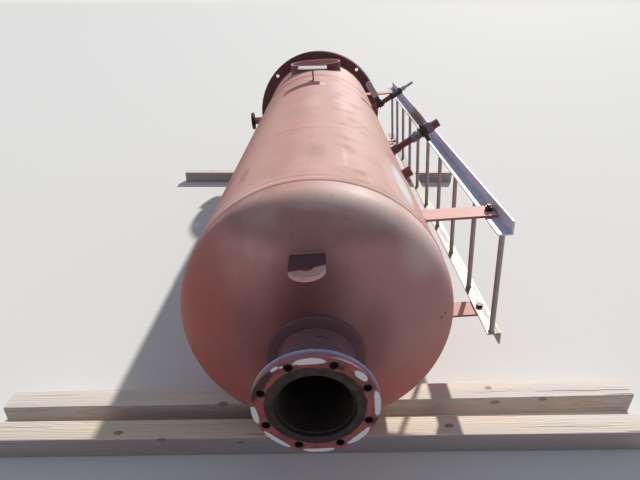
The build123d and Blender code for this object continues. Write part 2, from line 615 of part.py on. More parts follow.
def standing_pieces():
    """Every piece of the vessel, standing on its base ring."""
    pieces = {
        "shell_course_near": shell_course(SHELL_SEAM, SHELL_TOP, ["near"]),
        "shell_course_far": shell_course(SHELL_BOTTOM, SHELL_SEAM, ["middle", "far"]),
        "top_head": domed_head(TOP_TANGENT, 1, NOZZLE_RADIUS),
        "bottom_head": domed_head(BOTTOM_TANGENT, -1, OUTLET_RADIUS),
        "top_girth_weld": weld_bead(SHELL_TOP - TOP_BEAD_WIDTH / 2, TOP_BEAD_WIDTH, TOP_BEAD_HEIGHT),
        "shell_seam_weld": weld_bead(SHELL_SEAM, BEAD_WIDTH, BEAD_HEIGHT),
        "bottom_girth_weld": weld_bead(SHELL_BOTTOM, BEAD_WIDTH, BEAD_HEIGHT),
        "skirt_weld": weld_bead(BOTTOM_TANGENT, BEAD_WIDTH, BEAD_HEIGHT),
        "skirt": skirt(),
        "skirt_access_sleeve": access_sleeve(),
        "base_ring": base_ring(),
        "top_nozzle_neck": top_nozzle_neck(),
        "top_nozzle_flange": top_nozzle_flange(),
        "top_nozzle_pad": top_nozzle_pad(),
        "nameplate_plate": nameplate_plate(),
        "nameplate_web": nameplate_web(),
        "middle_nipple": middle_nipple(),
        "middle_union": middle_union(),
        "middle_valve": middle_valve(),
        "middle_plug": middle_plug(),
        "far_valve": far_valve(),
        "far_valve_grip": far_valve_grip(),
        "far_nipple": far_nipple(),
        "far_sleeve": far_sleeve(),
        "far_tail_pipe": far_tail_pipe(),
        "bottom_outlet_pipe": bottom_outlet_pipe(),
        "bottom_outlet_flange": bottom_outlet_flange(),
        "outlet_skirt_sleeve": outlet_skirt_sleeve(),
        "ladder_rail_upper": ladder_rail(1),
        "ladder_rail_lower": ladder_rail(-1),
        "ladder_rungs": ladder_rungs(),
        "ladder_clip_bolts": clip_bolts(),
    }
    for name, azimuth in zip(("lifting_lug_upper", "lifting_lug_lower"), LUG_AZIMUTHS):
        pieces[name] = lifting_lug(azimuth)
    for name in COUPLING_ELEVATIONS:
        pieces[f"{name}_coupling"] = half_coupling(name)
    for end, elevation in CLIP_ELEVATIONS.items():
        pieces[f"ladder_clip_{end}_upper"] = ladder_clip(1, elevation)
        pieces[f"ladder_clip_{end}_lower"] = ladder_clip(-1, elevation)
    return pieces


def lying_pieces():
    """All pieces in the row's frame: on the ground, with the whole centred on the origin."""
    pieces = {name: lay_down() * piece for name, piece in standing_pieces().items()}
    for name, place in TIMBERS.items():
        pieces[name] = timber(*place)
    boxes = [piece.bounding_box() for piece in pieces.values()]
    middle_x = (min(b.min.X for b in boxes) + max(b.max.X for b in boxes)) / 2
    ground = -SHELL_RADIUS - SEAT_GAP - TIMBER_SIDE
    return {name: Pos(-middle_x, FLANGE_FACE / 2, -ground) * piece for name, piece in pieces.items()}


os.makedirs("parts", exist_ok=True)
for node_name, node_piece in lying_pieces().items():
    export_step(node_piece, f"parts/{node_name}.step")
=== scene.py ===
# %% [markdown]
# A reflux accumulator is a tall pressure vessel that stands on a skirt beside a
# distillation column. This one lies on its side on three timbers, as it waits for
# its truck. The CAD model gives every size; this lesson gives the steel, the paint,
# the welds and the timber their looks.

# %% Load the frame
import json
import math

import bpy
from mathutils import Matrix, Vector

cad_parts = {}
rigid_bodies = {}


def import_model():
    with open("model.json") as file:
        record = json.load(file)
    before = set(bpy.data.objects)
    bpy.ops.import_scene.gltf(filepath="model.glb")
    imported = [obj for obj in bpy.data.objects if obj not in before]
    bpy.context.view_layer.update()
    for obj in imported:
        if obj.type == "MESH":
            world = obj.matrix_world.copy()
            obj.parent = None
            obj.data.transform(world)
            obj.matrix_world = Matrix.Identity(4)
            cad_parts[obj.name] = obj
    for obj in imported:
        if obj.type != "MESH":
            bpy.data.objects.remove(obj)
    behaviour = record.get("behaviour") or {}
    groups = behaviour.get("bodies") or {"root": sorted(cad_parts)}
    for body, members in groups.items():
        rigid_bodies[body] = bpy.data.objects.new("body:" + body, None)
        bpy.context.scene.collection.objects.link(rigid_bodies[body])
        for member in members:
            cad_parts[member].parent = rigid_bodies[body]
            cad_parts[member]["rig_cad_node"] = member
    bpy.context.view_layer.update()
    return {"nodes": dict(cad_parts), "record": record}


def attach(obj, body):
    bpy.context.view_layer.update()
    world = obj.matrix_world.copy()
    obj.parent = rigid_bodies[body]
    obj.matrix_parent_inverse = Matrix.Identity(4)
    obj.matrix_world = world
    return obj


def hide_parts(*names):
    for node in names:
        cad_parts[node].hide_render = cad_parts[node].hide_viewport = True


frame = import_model()
nodes = frame["nodes"]
slot_of = {part["node"]: part["material_slot"] for part in frame["record"]["subparts"]}
print("CAD nodes:", len(nodes), "slots:", len(set(slot_of.values())))

# %% [markdown]
# Places on a vessel are read as on its drawing: an azimuth round the axis, a radius
# from it and an elevation above the base ring. The vessel lies with its base ring
# away from the camera and is rolled a little, so one function turns such a place
# into a point of the scene.

# %% Places on the vessel
MM = 0.001
AXIS = Vector((-0.016831, 0.0, 0.5463))
BASE_Y = 1.8017
ROLL = 4.4
TOP_ELEVATION = 3603.4
SHELL_RADIUS = 457.2


def outward(azimuth):
    turn = math.radians(azimuth + ROLL)
    return Vector((math.cos(turn), 0.0, math.sin(turn)))


def spot(azimuth, radius, elevation):
    return AXIS + outward(azimuth) * radius * MM + Vector((0.0, BASE_Y - elevation * MM, 0.0))


print("flange face centre:", spot(0, 0, TOP_ELEVATION))

# %% [markdown]
# The camera stands in front of the top flange at eye height and looks down along the
# vessel. Its lens is wide, so the near head looms and the far end shrinks. These
# numbers were solved from the edges of the flange, the shell and the ladder.

# %% Camera
camera_data = bpy.data.cameras.new("eye_level_camera")
camera_data.lens = 26.25
camera_data.sensor_width = 36.0
camera_data.clip_start = 0.02
camera_data.clip_end = 1000.0
camera = bpy.data.objects.new("eye_level_camera", camera_data)
bpy.context.scene.collection.objects.link(camera)
camera.location = (-0.0021, -2.6844, 1.4914)
camera.rotation_euler = (math.radians(62.805), 0.0, math.radians(0.2))
bpy.context.scene.camera = camera
bpy.context.scene.view_settings.view_transform = "Standard"

# %% [markdown]
# Nodes for materials are added by one short function: it makes the node, sets its
# options and joins or fills its sockets. Colours are written as they look on a
# screen, from 0 to 255, and turned into the linear values that the renderer mixes.

# %% Small tools for node trees


def paint(red, green, blue):
    channels = [value / 255 for value in (red, green, blue)]
    linear = [c / 12.92 if c <= 0.04045 else ((c + 0.055) / 1.055) ** 2.4 for c in channels]
    return (*linear, 1.0)


def feed(tree, socket, value):
    """Links a socket to another node's, or gives it a plain value."""
    if isinstance(value, bpy.types.NodeSocket):
        tree.links.new(value, socket)
    else:
        socket.default_value = value


def add(tree, kind, inputs=None, **options):
    made = tree.nodes.new(kind)
    for name, value in options.items():
        setattr(made, name, value)
    for name, value in (inputs or {}).items():
        feed(tree, made.inputs[name], value)
    return made


def maths(tree, operation, first, second=0.0, third=0.0, clamp=False):
    inputs = {0: first, 1: second, 2: third}
    return add(tree, "ShaderNodeMath", inputs, operation=operation, use_clamp=clamp).outputs[0]


def times(tree, first, second):
    return maths(tree, "MULTIPLY", first, second)


def times_plus(tree, first, second, third):
    return maths(tree, "MULTIPLY_ADD", first, second, third)


def vector_maths(tree, operation, first, second=(0.0, 0.0, 0.0)):
    made = add(tree, "ShaderNodeVectorMath", {0: first, 1: second}, operation=operation)
    return made.outputs["Value" if operation == "LENGTH" else "Vector"]


def sides_of(tree, vector):
    return add(tree, "ShaderNodeSeparateXYZ", {0: vector}).outputs


def noise_of(tree, place, scale, detail, roughness=0.5):
    inputs = {"Vector": place, "Scale": scale, "Detail": detail, "Roughness": roughness}
    return add(tree, "ShaderNodeTexNoise", inputs).outputs["Fac"]


def blend(tree, mask, under, over):
    """Lays one colour over another; each is a socket or three screen values."""
    made = add(tree, "ShaderNodeMix", {0: mask}, data_type="RGBA", clamp_factor=True)
    for name, colour in ((6, under), (7, over)):
        feed(tree, made.inputs[name], paint(*colour) if isinstance(colour, tuple) else colour)
    return made.outputs[2]


def lay(tree, under, over, mask, amount):
    """Lays a colour over another where a mask lets it, by an amount."""
    return blend(tree, times(tree, mask, amount), under, over)


def ramp(tree, value, start, end, low=0.0, high=1.0):
    span = {"Value": value, "From Min": start, "From Max": end, "To Min": low, "To Max": high}
    return add(tree, "ShaderNodeMapRange", span, interpolation_type="SMOOTHSTEP").outputs["Result"]


# %% [markdown]
# The floor is plain and pale and only catches the shadows. The picture's top edge is
# level with the horizon, so the plane is very wide, and the world behind it has the
# floor's colour for the camera alone. A yard of stone throws much less light back
# than a white floor would, so all but the camera and the mirrors see a duller floor.

# %% Floor


def added(primitive, **options):
    """Adds a primitive with nothing else selected, because operators act on all that is."""
    bpy.ops.object.select_all(action="DESELECT")
    primitive(**options)
    return bpy.context.active_object


FLOOR_COLOUR = (236, 233, 228)
YARD_COLOUR = (214, 210, 208)
floor = added(bpy.ops.mesh.primitive_plane_add, size=600.0, location=(0.0, 0.0, 0.0))
floor.name = "floor"
floor_finish = bpy.data.materials.new("floor_finish")
floor_finish.use_nodes = True
floor_tree = floor_finish.node_tree
floor_shader = floor_tree.nodes["Principled BSDF"]
floor_shader.inputs["Roughness"].default_value = 0.95
seen_by = add(floor_tree, "ShaderNodeLightPath").outputs
eye_or_mirror = maths(floor_tree, "MAXIMUM", seen_by["Is Camera Ray"], seen_by["Is Glossy Ray"])
floor_look = blend(floor_tree, eye_or_mirror, YARD_COLOUR, FLOOR_COLOUR)
floor_tree.links.new(floor_look, floor_shader.inputs["Base Color"])
floor.data.materials.append(floor_finish)

# %% [markdown]
# One lamp stands for the sun, behind the vessel and to the right, so the far end glows
# and the near head keeps its shape in half shade. Its direction was solved from the
# shadows that the vessel, a rail and a rung throw on the timbers. The world fills the
# shadows evenly.

# %% Light
SUN_TOWARDS = Vector((0.316, 0.790, 0.526))
sun_data = bpy.data.lights.new("soft_sun", "SUN")
sun_data.energy = 3.8
sun_data.angle = math.radians(1.4)
sun_data.color = (1.0, 0.975, 0.94)
sun = bpy.data.objects.new("soft_sun", sun_data)
bpy.context.scene.collection.objects.link(sun)
sun.rotation_euler = SUN_TOWARDS.to_track_quat("Z", "Y").to_euler()

world = bpy.data.worlds.new("soft_studio")
world.use_nodes = True
bpy.context.scene.world = world
sky_tree = world.node_tree
sky_tree.nodes.clear()
fill_light = add(sky_tree, "ShaderNodeBackground", {"Color": (0.78, 0.89, 1.08, 1.0), "Strength": 0.31})
behind = add(sky_tree, "ShaderNodeBackground", {"Color": paint(*FLOOR_COLOUR), "Strength": 1.0})
ray = add(sky_tree, "ShaderNodeLightPath")
sky = add(sky_tree, "ShaderNodeMixShader",
          {0: ray.outputs["Is Camera Ray"], 1: fill_light.outputs[0], 2: behind.outputs[0]})
add(sky_tree, "ShaderNodeOutputWorld", {"Surface": sky.outputs[0]})

# %% [markdown]
# Most finishes need the same few effects: cloudy patches, a worn place with a ragged
# edge, and places told by turn and radius instead of left and right. Each is a node
# group with named sockets, built once and used in many materials.

# %% Building and using a group


def new_group(title, inputs, outputs):
    """Inputs are names with their first values, outputs are names with their kinds."""
    tree = bpy.data.node_groups.new(title, "ShaderNodeTree")
    for name, value in inputs.items():
        kind = "Vector" if isinstance(value, tuple) else "Float"
        socket = tree.interface.new_socket(name, in_out="INPUT", socket_type=f"NodeSocket{kind}")
        socket.default_value = value
    for name, kind in outputs.items():
        tree.interface.new_socket(name, in_out="OUTPUT", socket_type=f"NodeSocket{kind}")
    return tree, add(tree, "NodeGroupInput").outputs


def close_group(tree, **values):
    end = add(tree, "NodeGroupOutput")
    for name, value in values.items():
        tree.links.new(value, end.inputs[name])


def use(tree, group, **inputs):
    return add(tree, "ShaderNodeGroup", inputs, node_tree=group).outputs


# %% Cloudy patches
clouds, start = new_group(
    "cloudy_patches",
    {"Place": (0, 0, 0), "Shift": (0, 0, 0), "Scale": 5.0, "Detail": 6.0, "From": 0.4, "To": 0.6},
    {"Mask": "Float"})
moved = vector_maths(clouds, "ADD", start["Place"], start["Shift"])
noise = noise_of(clouds, moved, start["Scale"], start["Detail"], 0.62)
close_group(clouds, Mask=ramp(clouds, noise, start["From"], start["To"]))


def cloud(tree, place, scale, detail, low, high, shift=(0, 0, 0)):
    return use(tree, clouds, Place=place, Shift=shift, Scale=scale, Detail=detail, From=low, To=high)["Mask"]


# %% A worn place with a ragged edge
tree, start = new_group(
    "worn_place",
    {"Place": (0, 0, 0), "Centre": (0, 0, 0), "Reach": (1, 1, 1),
     "Ragged": 0.5, "Grain": 60.0, "Softness": 0.25},
    {"Mask": "Float"})
offset = vector_maths(tree, "SUBTRACT", start["Place"], start["Centre"])
far = vector_maths(tree, "LENGTH", vector_maths(tree, "DIVIDE", offset, start["Reach"]))
centred = maths(tree, "SUBTRACT", noise_of(tree, start["Place"], start["Grain"], 5.0, 0.6), 0.5)
distance = maths(tree, "ADD", far, times(tree, centred, start["Ragged"]))
inner = maths(tree, "SUBTRACT", 1.0, start["Softness"])
outer = maths(tree, "ADD", 1.0, start["Softness"])
close_group(tree, Mask=ramp(tree, distance, inner, outer, 1.0, 0.0))
worn_place = tree

# %% Places about the vessel's axis
tree, start = new_group(
    "about_the_axis", {"Place": (0, 0, 0)},
    {"Unrolled": "Vector", "Turn": "Float", "Radius": "Float", "Along": "Float"})
sides = sides_of(tree, vector_maths(tree, "SUBTRACT", start["Place"], tuple(AXIS)))
across = add(tree, "ShaderNodeCombineXYZ", {"X": sides["X"], "Z": sides["Z"]})
radius = vector_maths(tree, "LENGTH", across.outputs[0])
turn = maths(tree, "ARCTAN2", sides["Z"], sides["X"])
unrolled = add(tree, "ShaderNodeCombineXYZ", {"X": turn, "Y": radius, "Z": sides["Y"]})
close_group(tree, Unrolled=unrolled.outputs[0], Turn=turn, Radius=radius, Along=sides["Y"])
about_axis = tree
print("groups:", [group.name for group in bpy.data.node_groups])

# %% [markdown]
# A finish starts as a Principled shader with Object coordinates, and ends when its
# colour, roughness and bump are fed to the shader. In between, worn and stained places
# are laid over the colour so far, one by one.

# %% Starting and closing a finish
finishes = {}


def new_finish(name):
    finishes[name] = bpy.data.materials.new(f"{name}_finish")
    finishes[name].use_nodes = True
    tree = finishes[name].node_tree
    return tree, add(tree, "ShaderNodeTexCoord").outputs["Object"]


def close_finish(tree, colour, rough, height, strength, depth, metallic=0.0, specular=0.5):
    relief = add(tree, "ShaderNodeBump", {"Height": height, "Strength": strength, "Distance": depth})
    values = {"Base Color": colour, "Roughness": rough, "Metallic": metallic,
              "Specular IOR Level": specular, "Normal": relief.outputs["Normal"]}
    for name, value in values.items():
        feed(tree, tree.nodes["Principled BSDF"].inputs[name], value)


def lay_zones(tree, place, colour, zones, within=None):
    for centre, reach, over, amount, ragged, grain, softness in zones:
        mask = use(tree, worn_place, Place=place, Centre=centre, Reach=reach,
                   Ragged=ragged, Grain=grain, Softness=softness)["Mask"]
        if within is not None:
            mask = times(tree, mask, within)
        colour = lay(tree, colour, over, mask, amount)
    return colour


# %% [markdown]
# Red oxide primer is a flat, chalky coat. What faces the sky is laid paler, a pale
# salmon that is partly sun-faded paint and partly painted sunlight, while the flanks and
# the head keep their red. Clouds of three sizes break this up, with grit and a sprayed
# texture on top. Each primed piece may add its own stains and scuffs, and zones of
# painted light and shade, to the list of zones.

# %% Red oxide primer
RED_OXIDE = ((166, 97, 90), (192, 116, 106), (226, 176, 162))
PRIMER_DIRT = (104, 66, 60)


def facing(tree, side, start, end):
    normal = add(tree, "ShaderNodeNewGeometry").outputs["Normal"]
    return ramp(tree, sides_of(tree, normal)[side], start, end)


def primer(name, deep, red, faded_and_lit_top, dirt=PRIMER_DIRT, zones=(), unrolled_zones=(), fade_and_top_light=0.85):
    tree, place = new_finish(name)
    wide = cloud(tree, place, 2.3, 7.0, 0.38, 0.64)
    medium = cloud(tree, place, 8.0, 9.0, 0.46, 0.74, (3, 7, 1))
    fine = cloud(tree, place, 60.0, 6.0, 0.58, 0.74, (1, 5, 9))
    colour = blend(tree, wide, deep, red)
    # Painted light with sun fade in it: the faces that look up are laid paler.
    chalk_and_top_light = times_plus(tree, medium, 0.30, times(tree, facing(tree, "Z", -0.15, 0.75), fade_and_top_light))
    colour = blend(tree, chalk_and_top_light, colour, faded_and_lit_top)
    colour = lay_zones(tree, place, colour, zones)
    if unrolled_zones:
        colour = lay_zones(tree, use(tree, about_axis, Place=place)["Unrolled"], colour, unrolled_zones)
    colour = lay(tree, colour, dirt, fine, 0.22)
    height = maths(tree, "ADD", noise_of(tree, place, 260.0, 4.0), fine)
    rough = times_plus(tree, medium, 0.16, 0.60)
    close_finish(tree, colour, rough, height, 0.30, 0.0010, specular=0.30)


# %% [markdown]
# The shell carries the marks of its handling: sling scuffs on the flanks, dark smears
# and the faint ovals of dried puddles. Wide zones paint light and shade too: a brighter,
# redder left flank, a darker sunlit right flank and a near-white painted glare.
# Their places are given unrolled: turn in radians, radius, and distance along Y.

# %% Finish of the shell


def flank_zone(azimuth, elevation, half_turn, half_length, *look):
    middle = (math.radians(azimuth + ROLL), SHELL_RADIUS * MM, BASE_Y - elevation * MM)
    return (middle, (half_turn, 1.0, half_length), *look)


GLARE_PATCH = (226, 226, 224)
SMEAR = (150, 104, 92)
PUDDLE = (238, 204, 194)
SLING_MARK = (90, 62, 60)
# azimuth, elevation, half turn, half length, colour, amount, raggedness, grain, softness
SHELL_ZONES = [
    # painted light: a brighter, redder left flank
    (152.0, 2000, 0.72, 1.80, (222, 146, 136), 0.75, 0.25, 2.5, 0.55),
    (117.0, 2450, 0.20, 1.00, (248, 196, 182), 0.60, 0.25, 2.5, 0.70),
    # painted shade: the sunlit right flank made darker
    (66.0, 2000, 0.24, 1.80, (184, 122, 104), 0.85, 0.25, 2.5, 0.60),
    (44.0, 2200, 0.26, 1.60, (204, 158, 146), 0.85, 0.25, 2.5, 0.60),
    # a darker and a paler band by the girth weld
    (68.0, 3125, 0.22, 0.06, (176, 122, 104), 0.70, 0.25, 4.0, 0.60),
    (120.0, 3120, 0.34, 0.08, (252, 208, 192), 0.50, 0.25, 4.0, 0.60),
    # painted glare: a near-white patch with a paler halo on the sunlit flank
    (44.5, 2860, 0.135, 0.240, (222, 196, 184), 0.60, 0.60, 7.0, 0.50),
    (41.5, 2815, 0.078, 0.185, GLARE_PATCH, 0.92, 0.70, 9.0, 0.28),
    # dried puddles, smears, sling marks and a yellow spot
    (90.4, 1872, 0.10, 0.16, PUDDLE, 0.30, 0.9, 9.0, 0.60),
    (67.9, 1823, 0.09, 0.15, PUDDLE, 0.28, 0.9, 9.0, 0.60),
    (72.6, 1265, 0.09, 0.16, (214, 186, 186), 0.35, 0.9, 9.0, 0.60),
    (97.4, 2115, 0.13, 0.11, (196, 172, 148), 0.35, 0.9, 9.0, 0.60),
    (85.9, 2815, 0.08, 0.10, SMEAR, 0.30, 1.2, 14.0, 0.60),
    (73.2, 2865, 0.02, 0.09, PUDDLE, 0.30, 0.9, 18.0, 0.60),
    (39.5, 2452, 0.100, 0.006, SLING_MARK, 0.75, 0.3, 60.0, 0.35),
    (43.5, 1162, 0.115, 0.008, SLING_MARK, 0.75, 0.3, 60.0, 0.35),
    (136.0, 2760, 0.05, 0.12, SLING_MARK, 0.35, 2.0, 42.0, 0.30),
    (122.0, 2850, 0.04, 0.08, SLING_MARK, 0.30, 2.0, 42.0, 0.30),
    (200.0, 1900, 0.35, 0.05, SLING_MARK, 0.30, 1.6, 30.0, 0.35),
    (205.0, 2700, 0.35, 0.05, SLING_MARK, 0.30, 1.6, 30.0, 0.35),
    (330.0, 1700, 0.40, 0.22, SMEAR, 0.40, 0.9, 7.0, 0.50),
    (83.0, 1278, 0.05, 0.05, (228, 216, 164), 0.75, 0.8, 30.0, 0.35),
]
primer(
    "primed_shell", *RED_OXIDE, unrolled_zones=[flank_zone(*row) for row in SHELL_ZONES])
primer("weld_beads", (136, 78, 72), (160, 94, 86), (214, 160, 148))
print("shell zones:", len(SHELL_ZONES))

# %% [markdown]
# The near head is out of the sun. Wide, soft zones paint the light and shade that it
# gets: light bounced from the yard makes the left rim redder and the right side browner,
# and painted shade lies round the nozzle, between the lug and the nozzle and in a band
# below the top. Chalky streaks and sling marks are laid on as well.

# %% Finish of the near head


def head_zone(across, up, half_width, half_height, *look):
    return ((AXIS.x + across, -1.5, up), (half_width, 1.0, half_height), *look)


def rim_zones(rows, *look):
    """Stretches of a rim, told by azimuth, half turn in degrees, radius and half width."""
    return [((math.radians(azimuth + ROLL), middle, 0.0), (math.radians(half_turn), half_width, 100.0), *look)
            for azimuth, half_turn, middle, half_width in rows]


CHALK = (214, 196, 184)
# across, up, half width, half height, colour, amount, raggedness, grain, softness
HEAD_ZONES = [
    # painted shade round the nozzle and between the lug and the nozzle
    (0.005, 0.540, 0.270, 0.270, (146, 84, 82), 0.75, 0.35, 4.0, 0.45),
    (-0.005, 0.720, 0.105, 0.150, (110, 62, 66), 0.80, 0.35, 5.0, 0.60),
    # painted bounce light: a browner right side, redder left and lower parts
    (0.270, 0.700, 0.190, 0.250, (190, 142, 134), 0.70, 0.5, 4.0, 0.60),
    (-0.395, 0.560, 0.120, 0.300, (186, 96, 88), 0.50, 0.4, 4.0, 0.60),
    (-0.185, 0.290, 0.260, 0.170, (176, 88, 80), 0.55, 0.4, 4.0, 0.60),
    (0.235, 0.320, 0.220, 0.160, (186, 102, 92), 0.45, 0.4, 4.0, 0.60),
    # a small pale patch near the top
    (0.027, 0.929, 0.030, 0.030, (206, 160, 146), 0.45, 1.4, 24.0, 0.50),
    # painted shade in a band below the top rim
    (-0.025, 0.925, 0.330, 0.045, (124, 86, 92), 0.50, 0.7, 7.0, 0.60),
    # painted bounce light, redder at the upper left
    (-0.350, 0.750, 0.100, 0.160, (178, 84, 76), 0.45, 0.5, 5.0, 0.60),
    # a pale patch at the upper right
    (0.335, 0.850, 0.075, 0.070, (226, 196, 188), 0.70, 0.5, 5.0, 0.60),
    # painted shade beside the nozzle
    (0.168, 0.600, 0.060, 0.120, (124, 66, 62), 0.40, 0.5, 5.0, 0.60),
    # chalky streaks and sling marks
    (-0.180, 0.950, 0.060, 0.030, CHALK, 0.25, 1.4, 16.0, 0.60),
    (0.020, 0.985, 0.110, 0.016, CHALK, 0.50, 1.2, 16.0, 0.60),
    (0.160, 0.945, 0.090, 0.026, CHALK, 0.22, 1.4, 16.0, 0.60),
    (0.389, 0.613, 0.0045, 0.005, SLING_MARK, 0.75, 0.6, 90.0, 0.40),
    (0.403, 0.620, 0.0045, 0.004, SLING_MARK, 0.70, 0.6, 90.0, 0.40),
]
primer(
    "primed_head", *RED_OXIDE, zones=[head_zone(*row) for row in HEAD_ZONES], fade_and_top_light=0.65,
    unrolled_zones=rim_zones([(50.0, 32.0, 0.450, 0.030)], (234, 204, 192), 0.60, 0.3, 3.0, 0.60))
NECK_SCRATCH = [
    ((-0.0055, -1.6470, 0.656), (0.0120, 0.0012, 0.02), (24, 18, 20), 0.95, 0.4, 60.0, 0.35),
    ((0.0125, -1.6490, 0.655), (0.0115, 0.0014, 0.02), (24, 18, 20), 0.95, 0.4, 60.0, 0.35),
]
# The neck, the pad and the lug lie in the head's shadow, and their primer is a darker mauve copy of the red
# oxide: painted shade.
primer(
    "primed_neck", (124, 88, 94), (138, 98, 104), (150, 116, 124), zones=NECK_SCRATCH, fade_and_top_light=0.3)
primer("primed_pad", (106, 72, 76), (118, 80, 84), (134, 98, 102), fade_and_top_light=0.3)
LUG_EYE_MIDDLE = (-0.0408, -1.6229, 0.86)
# Painted shade over the sunlit front of the lug's top, then rust round its eye.
LUG_SHADE_AND_RUST = [((-0.0408, -1.6100, 0.86), (0.120, 0.070, 0.2), (84, 58, 66), 0.75, 0.3, 20.0, 0.20),
           (LUG_EYE_MIDDLE, (0.026, 0.026, 0.2), (112, 60, 50), 0.70, 0.5, 60.0, 0.35)]
primer(
    "primed_lug", (118, 84, 90), (130, 94, 100), (150, 118, 126), zones=LUG_SHADE_AND_RUST, fade_and_top_light=0.4)
primer("primed_lug_edge", (212, 158, 150), (226, 172, 162), (236, 196, 186), fade_and_top_light=0.4)
print("head zones:", len(HEAD_ZONES))

# %% [markdown]
# Inside, the steel was never painted. Its rust is painted a near-black brown, rust and
# painted shade at once, and only the mouth of the nozzle catches light.

# %% Bare inside
tree, place = new_finish("rust_and_shade_inside")
crust = cloud(tree, place, 14.0, 9.0, 0.35, 0.70)
flakes = cloud(tree, place, 90.0, 5.0, 0.50, 0.68, (4, 2, 8))
colour = blend(tree, crust, (34, 24, 21), (58, 40, 33))
colour = lay(tree, colour, (84, 52, 38), flakes, 0.4)
close_finish(tree, colour, 0.85, maths(tree, "ADD", crust, flakes), 0.5, 0.0015)

# %% [markdown]
# The flange's face was machined, then its rim primed, then the primer was scraped off
# in pale patches between the bolt holes. The raised face was left bare and rusted over
# its turned grooves. Each hole keeps a dark ring where a washer has sat. The holes and
# the bore are painted near black as painted shade, and the rim's upper faces get a pale
# blue painted sky reflection.

# %% Finish of the flanges
BOLT_RING = 0.149225
BOLT_COUNT = 8
FACE_RADIUS = 0.1350
RIM_RADIUS = 0.17145
GROOVE_PITCH = 0.0026
RUST_PLACES = rim_zones(
    [(158.0, 11.0, 0.1630, 0.0100), (139.0, 10.0, 0.1590, 0.0110), (148.0, 6.0, 0.1520, 0.0070),
     (-22.0, 5.0, 0.1640, 0.0050), (60.0, 4.0, 0.1480, 0.0070)],
    (50, 31, 28), 0.90, 0.9, 70.0, 0.20)
SCRAPED_PLACES = rim_zones(
    [(91.2, 15.0, 0.1560, 0.0100), (39.0, 8.0, 0.1580, 0.0100), (0.5, 15.5, 0.1650, 0.0105),
     (-46.5, 15.0, 0.1620, 0.0085), (-91.0, 15.0, 0.1655, 0.0080), (-135.5, 15.5, 0.1655, 0.0085),
     (-174.5, 11.5, 0.1650, 0.0100), (124.0, 4.5, 0.1650, 0.0045), (118.0, 2.0, 0.1600, 0.0030)],
    (232, 232, 234), 0.95, 0.85, 75.0, 0.05)


def fold_to_hole(tree, turn, radius):
    """Distance to the nearest of the bolt holes, told from the turn folded into one sector."""
    sector = 2 * math.pi / BOLT_COUNT
    around = maths(tree, "WRAP", maths(tree, "SUBTRACT", turn, math.radians(ROLL)), sector, 0.0)
    from_hole = maths(tree, "SUBTRACT", around, sector / 2)
    along = times(tree, maths(tree, "COSINE", from_hole), radius)
    aside = times(tree, maths(tree, "SINE", from_hole), radius)
    out = maths(tree, "SUBTRACT", along, BOLT_RING)
    return maths(tree, "SQRT", times_plus(tree, out, out, times(tree, aside, aside)))


def flange_finish():
    tree, place = new_finish("worn_flange")
    axis = use(tree, about_axis, Place=place)
    turn, radius, along = axis["Turn"], axis["Radius"], axis["Along"]
    fine = cloud(tree, place, 170.0, 6.0, 0.54, 0.70, (2, 1, 3))
    colour = blend(tree, cloud(tree, place, 22.0, 8.0, 0.36, 0.64), (126, 60, 57), (164, 84, 76))
    colour = lay(tree, colour, (86, 46, 38), fine, 0.45)
    front = ramp(tree, along, -1.7915, -1.7945)
    colour = lay_zones(tree, axis["Unrolled"], colour, RUST_PLACES + SCRAPED_PLACES, front)
    hole = fold_to_hole(tree, turn, radius)
    washer = times(tree, ramp(tree, hole, 0.0155, 0.0125), front)
    colour = lay(tree, colour, (58, 36, 32), washer, 0.75)
    # Painted shade: the bore and the bolt holes are painted near black.
    in_bore = ramp(tree, radius, 0.1125, 0.1105)
    in_holes = maths(tree, "MAXIMUM", ramp(tree, hole, 0.0122, 0.0113), in_bore)
    colour = blend(tree, in_holes, colour, (40, 29, 26))
    noise = noise_of(tree, place, 45.0, 4.0)
    face_edge = times_plus(tree, noise, 0.016, radius)
    face = times(tree, ramp(tree, face_edge, FACE_RADIUS + 0.0105, FACE_RADIUS + 0.0060), front)
    crust = cloud(tree, place, 34.0, 9.0, 0.38, 0.66, (6, 1, 4))
    face_colour = blend(tree, crust, (38, 29, 27), (82, 57, 50))
    face_colour = lay(tree, face_colour, (34, 27, 25), ramp(tree, turn, 0.9, -0.6), 0.55)
    grooves = maths(tree, "SINE", times(tree, radius, 2 * math.pi / GROOVE_PITCH))
    face_colour = lay(tree, face_colour, (30, 23, 22), ramp(tree, grooves, 0.0, 1.0), 0.35)
    colour = blend(tree, face, colour, face_colour)
    rim_noise = times_plus(tree, noise, -0.004, radius)
    rim = ramp(tree, rim_noise, RIM_RADIUS - 0.0045, RIM_RADIUS - 0.0015)
    # Painted sky reflection: the rim's upper faces and its back edge turn pale blue.
    painted_sky_rim = blend(tree, ramp(tree, along, -1.788, -1.778), (176, 140, 158), (196, 222, 252))
    rim_colour = blend(tree, facing(tree, "Z", -0.3, 0.8), (130, 104, 110), painted_sky_rim)
    colour = lay(tree, colour, rim_colour, rim, 0.75)
    height = maths(tree, "ADD", times(tree, grooves, times(tree, face, 0.5)), fine)
    close_finish(tree, colour, times_plus(tree, face, 0.15, 0.62), height, 0.45, 0.0007)


flange_finish()
# The base ring's primer is darker than the shell's, painted shade, and the upper right of its outer edge gets
# a near-white painted highlight.
primer(
    "primed_base_ring", (96, 55, 58), (116, 68, 70), (150, 102, 100), (52, 32, 32), fade_and_top_light=0.5,
    unrolled_zones=rim_zones([(51.6, 44.0, 0.5461, 0.0110)], (250, 232, 232), 0.95, 0.5, 60.0, 0.15))
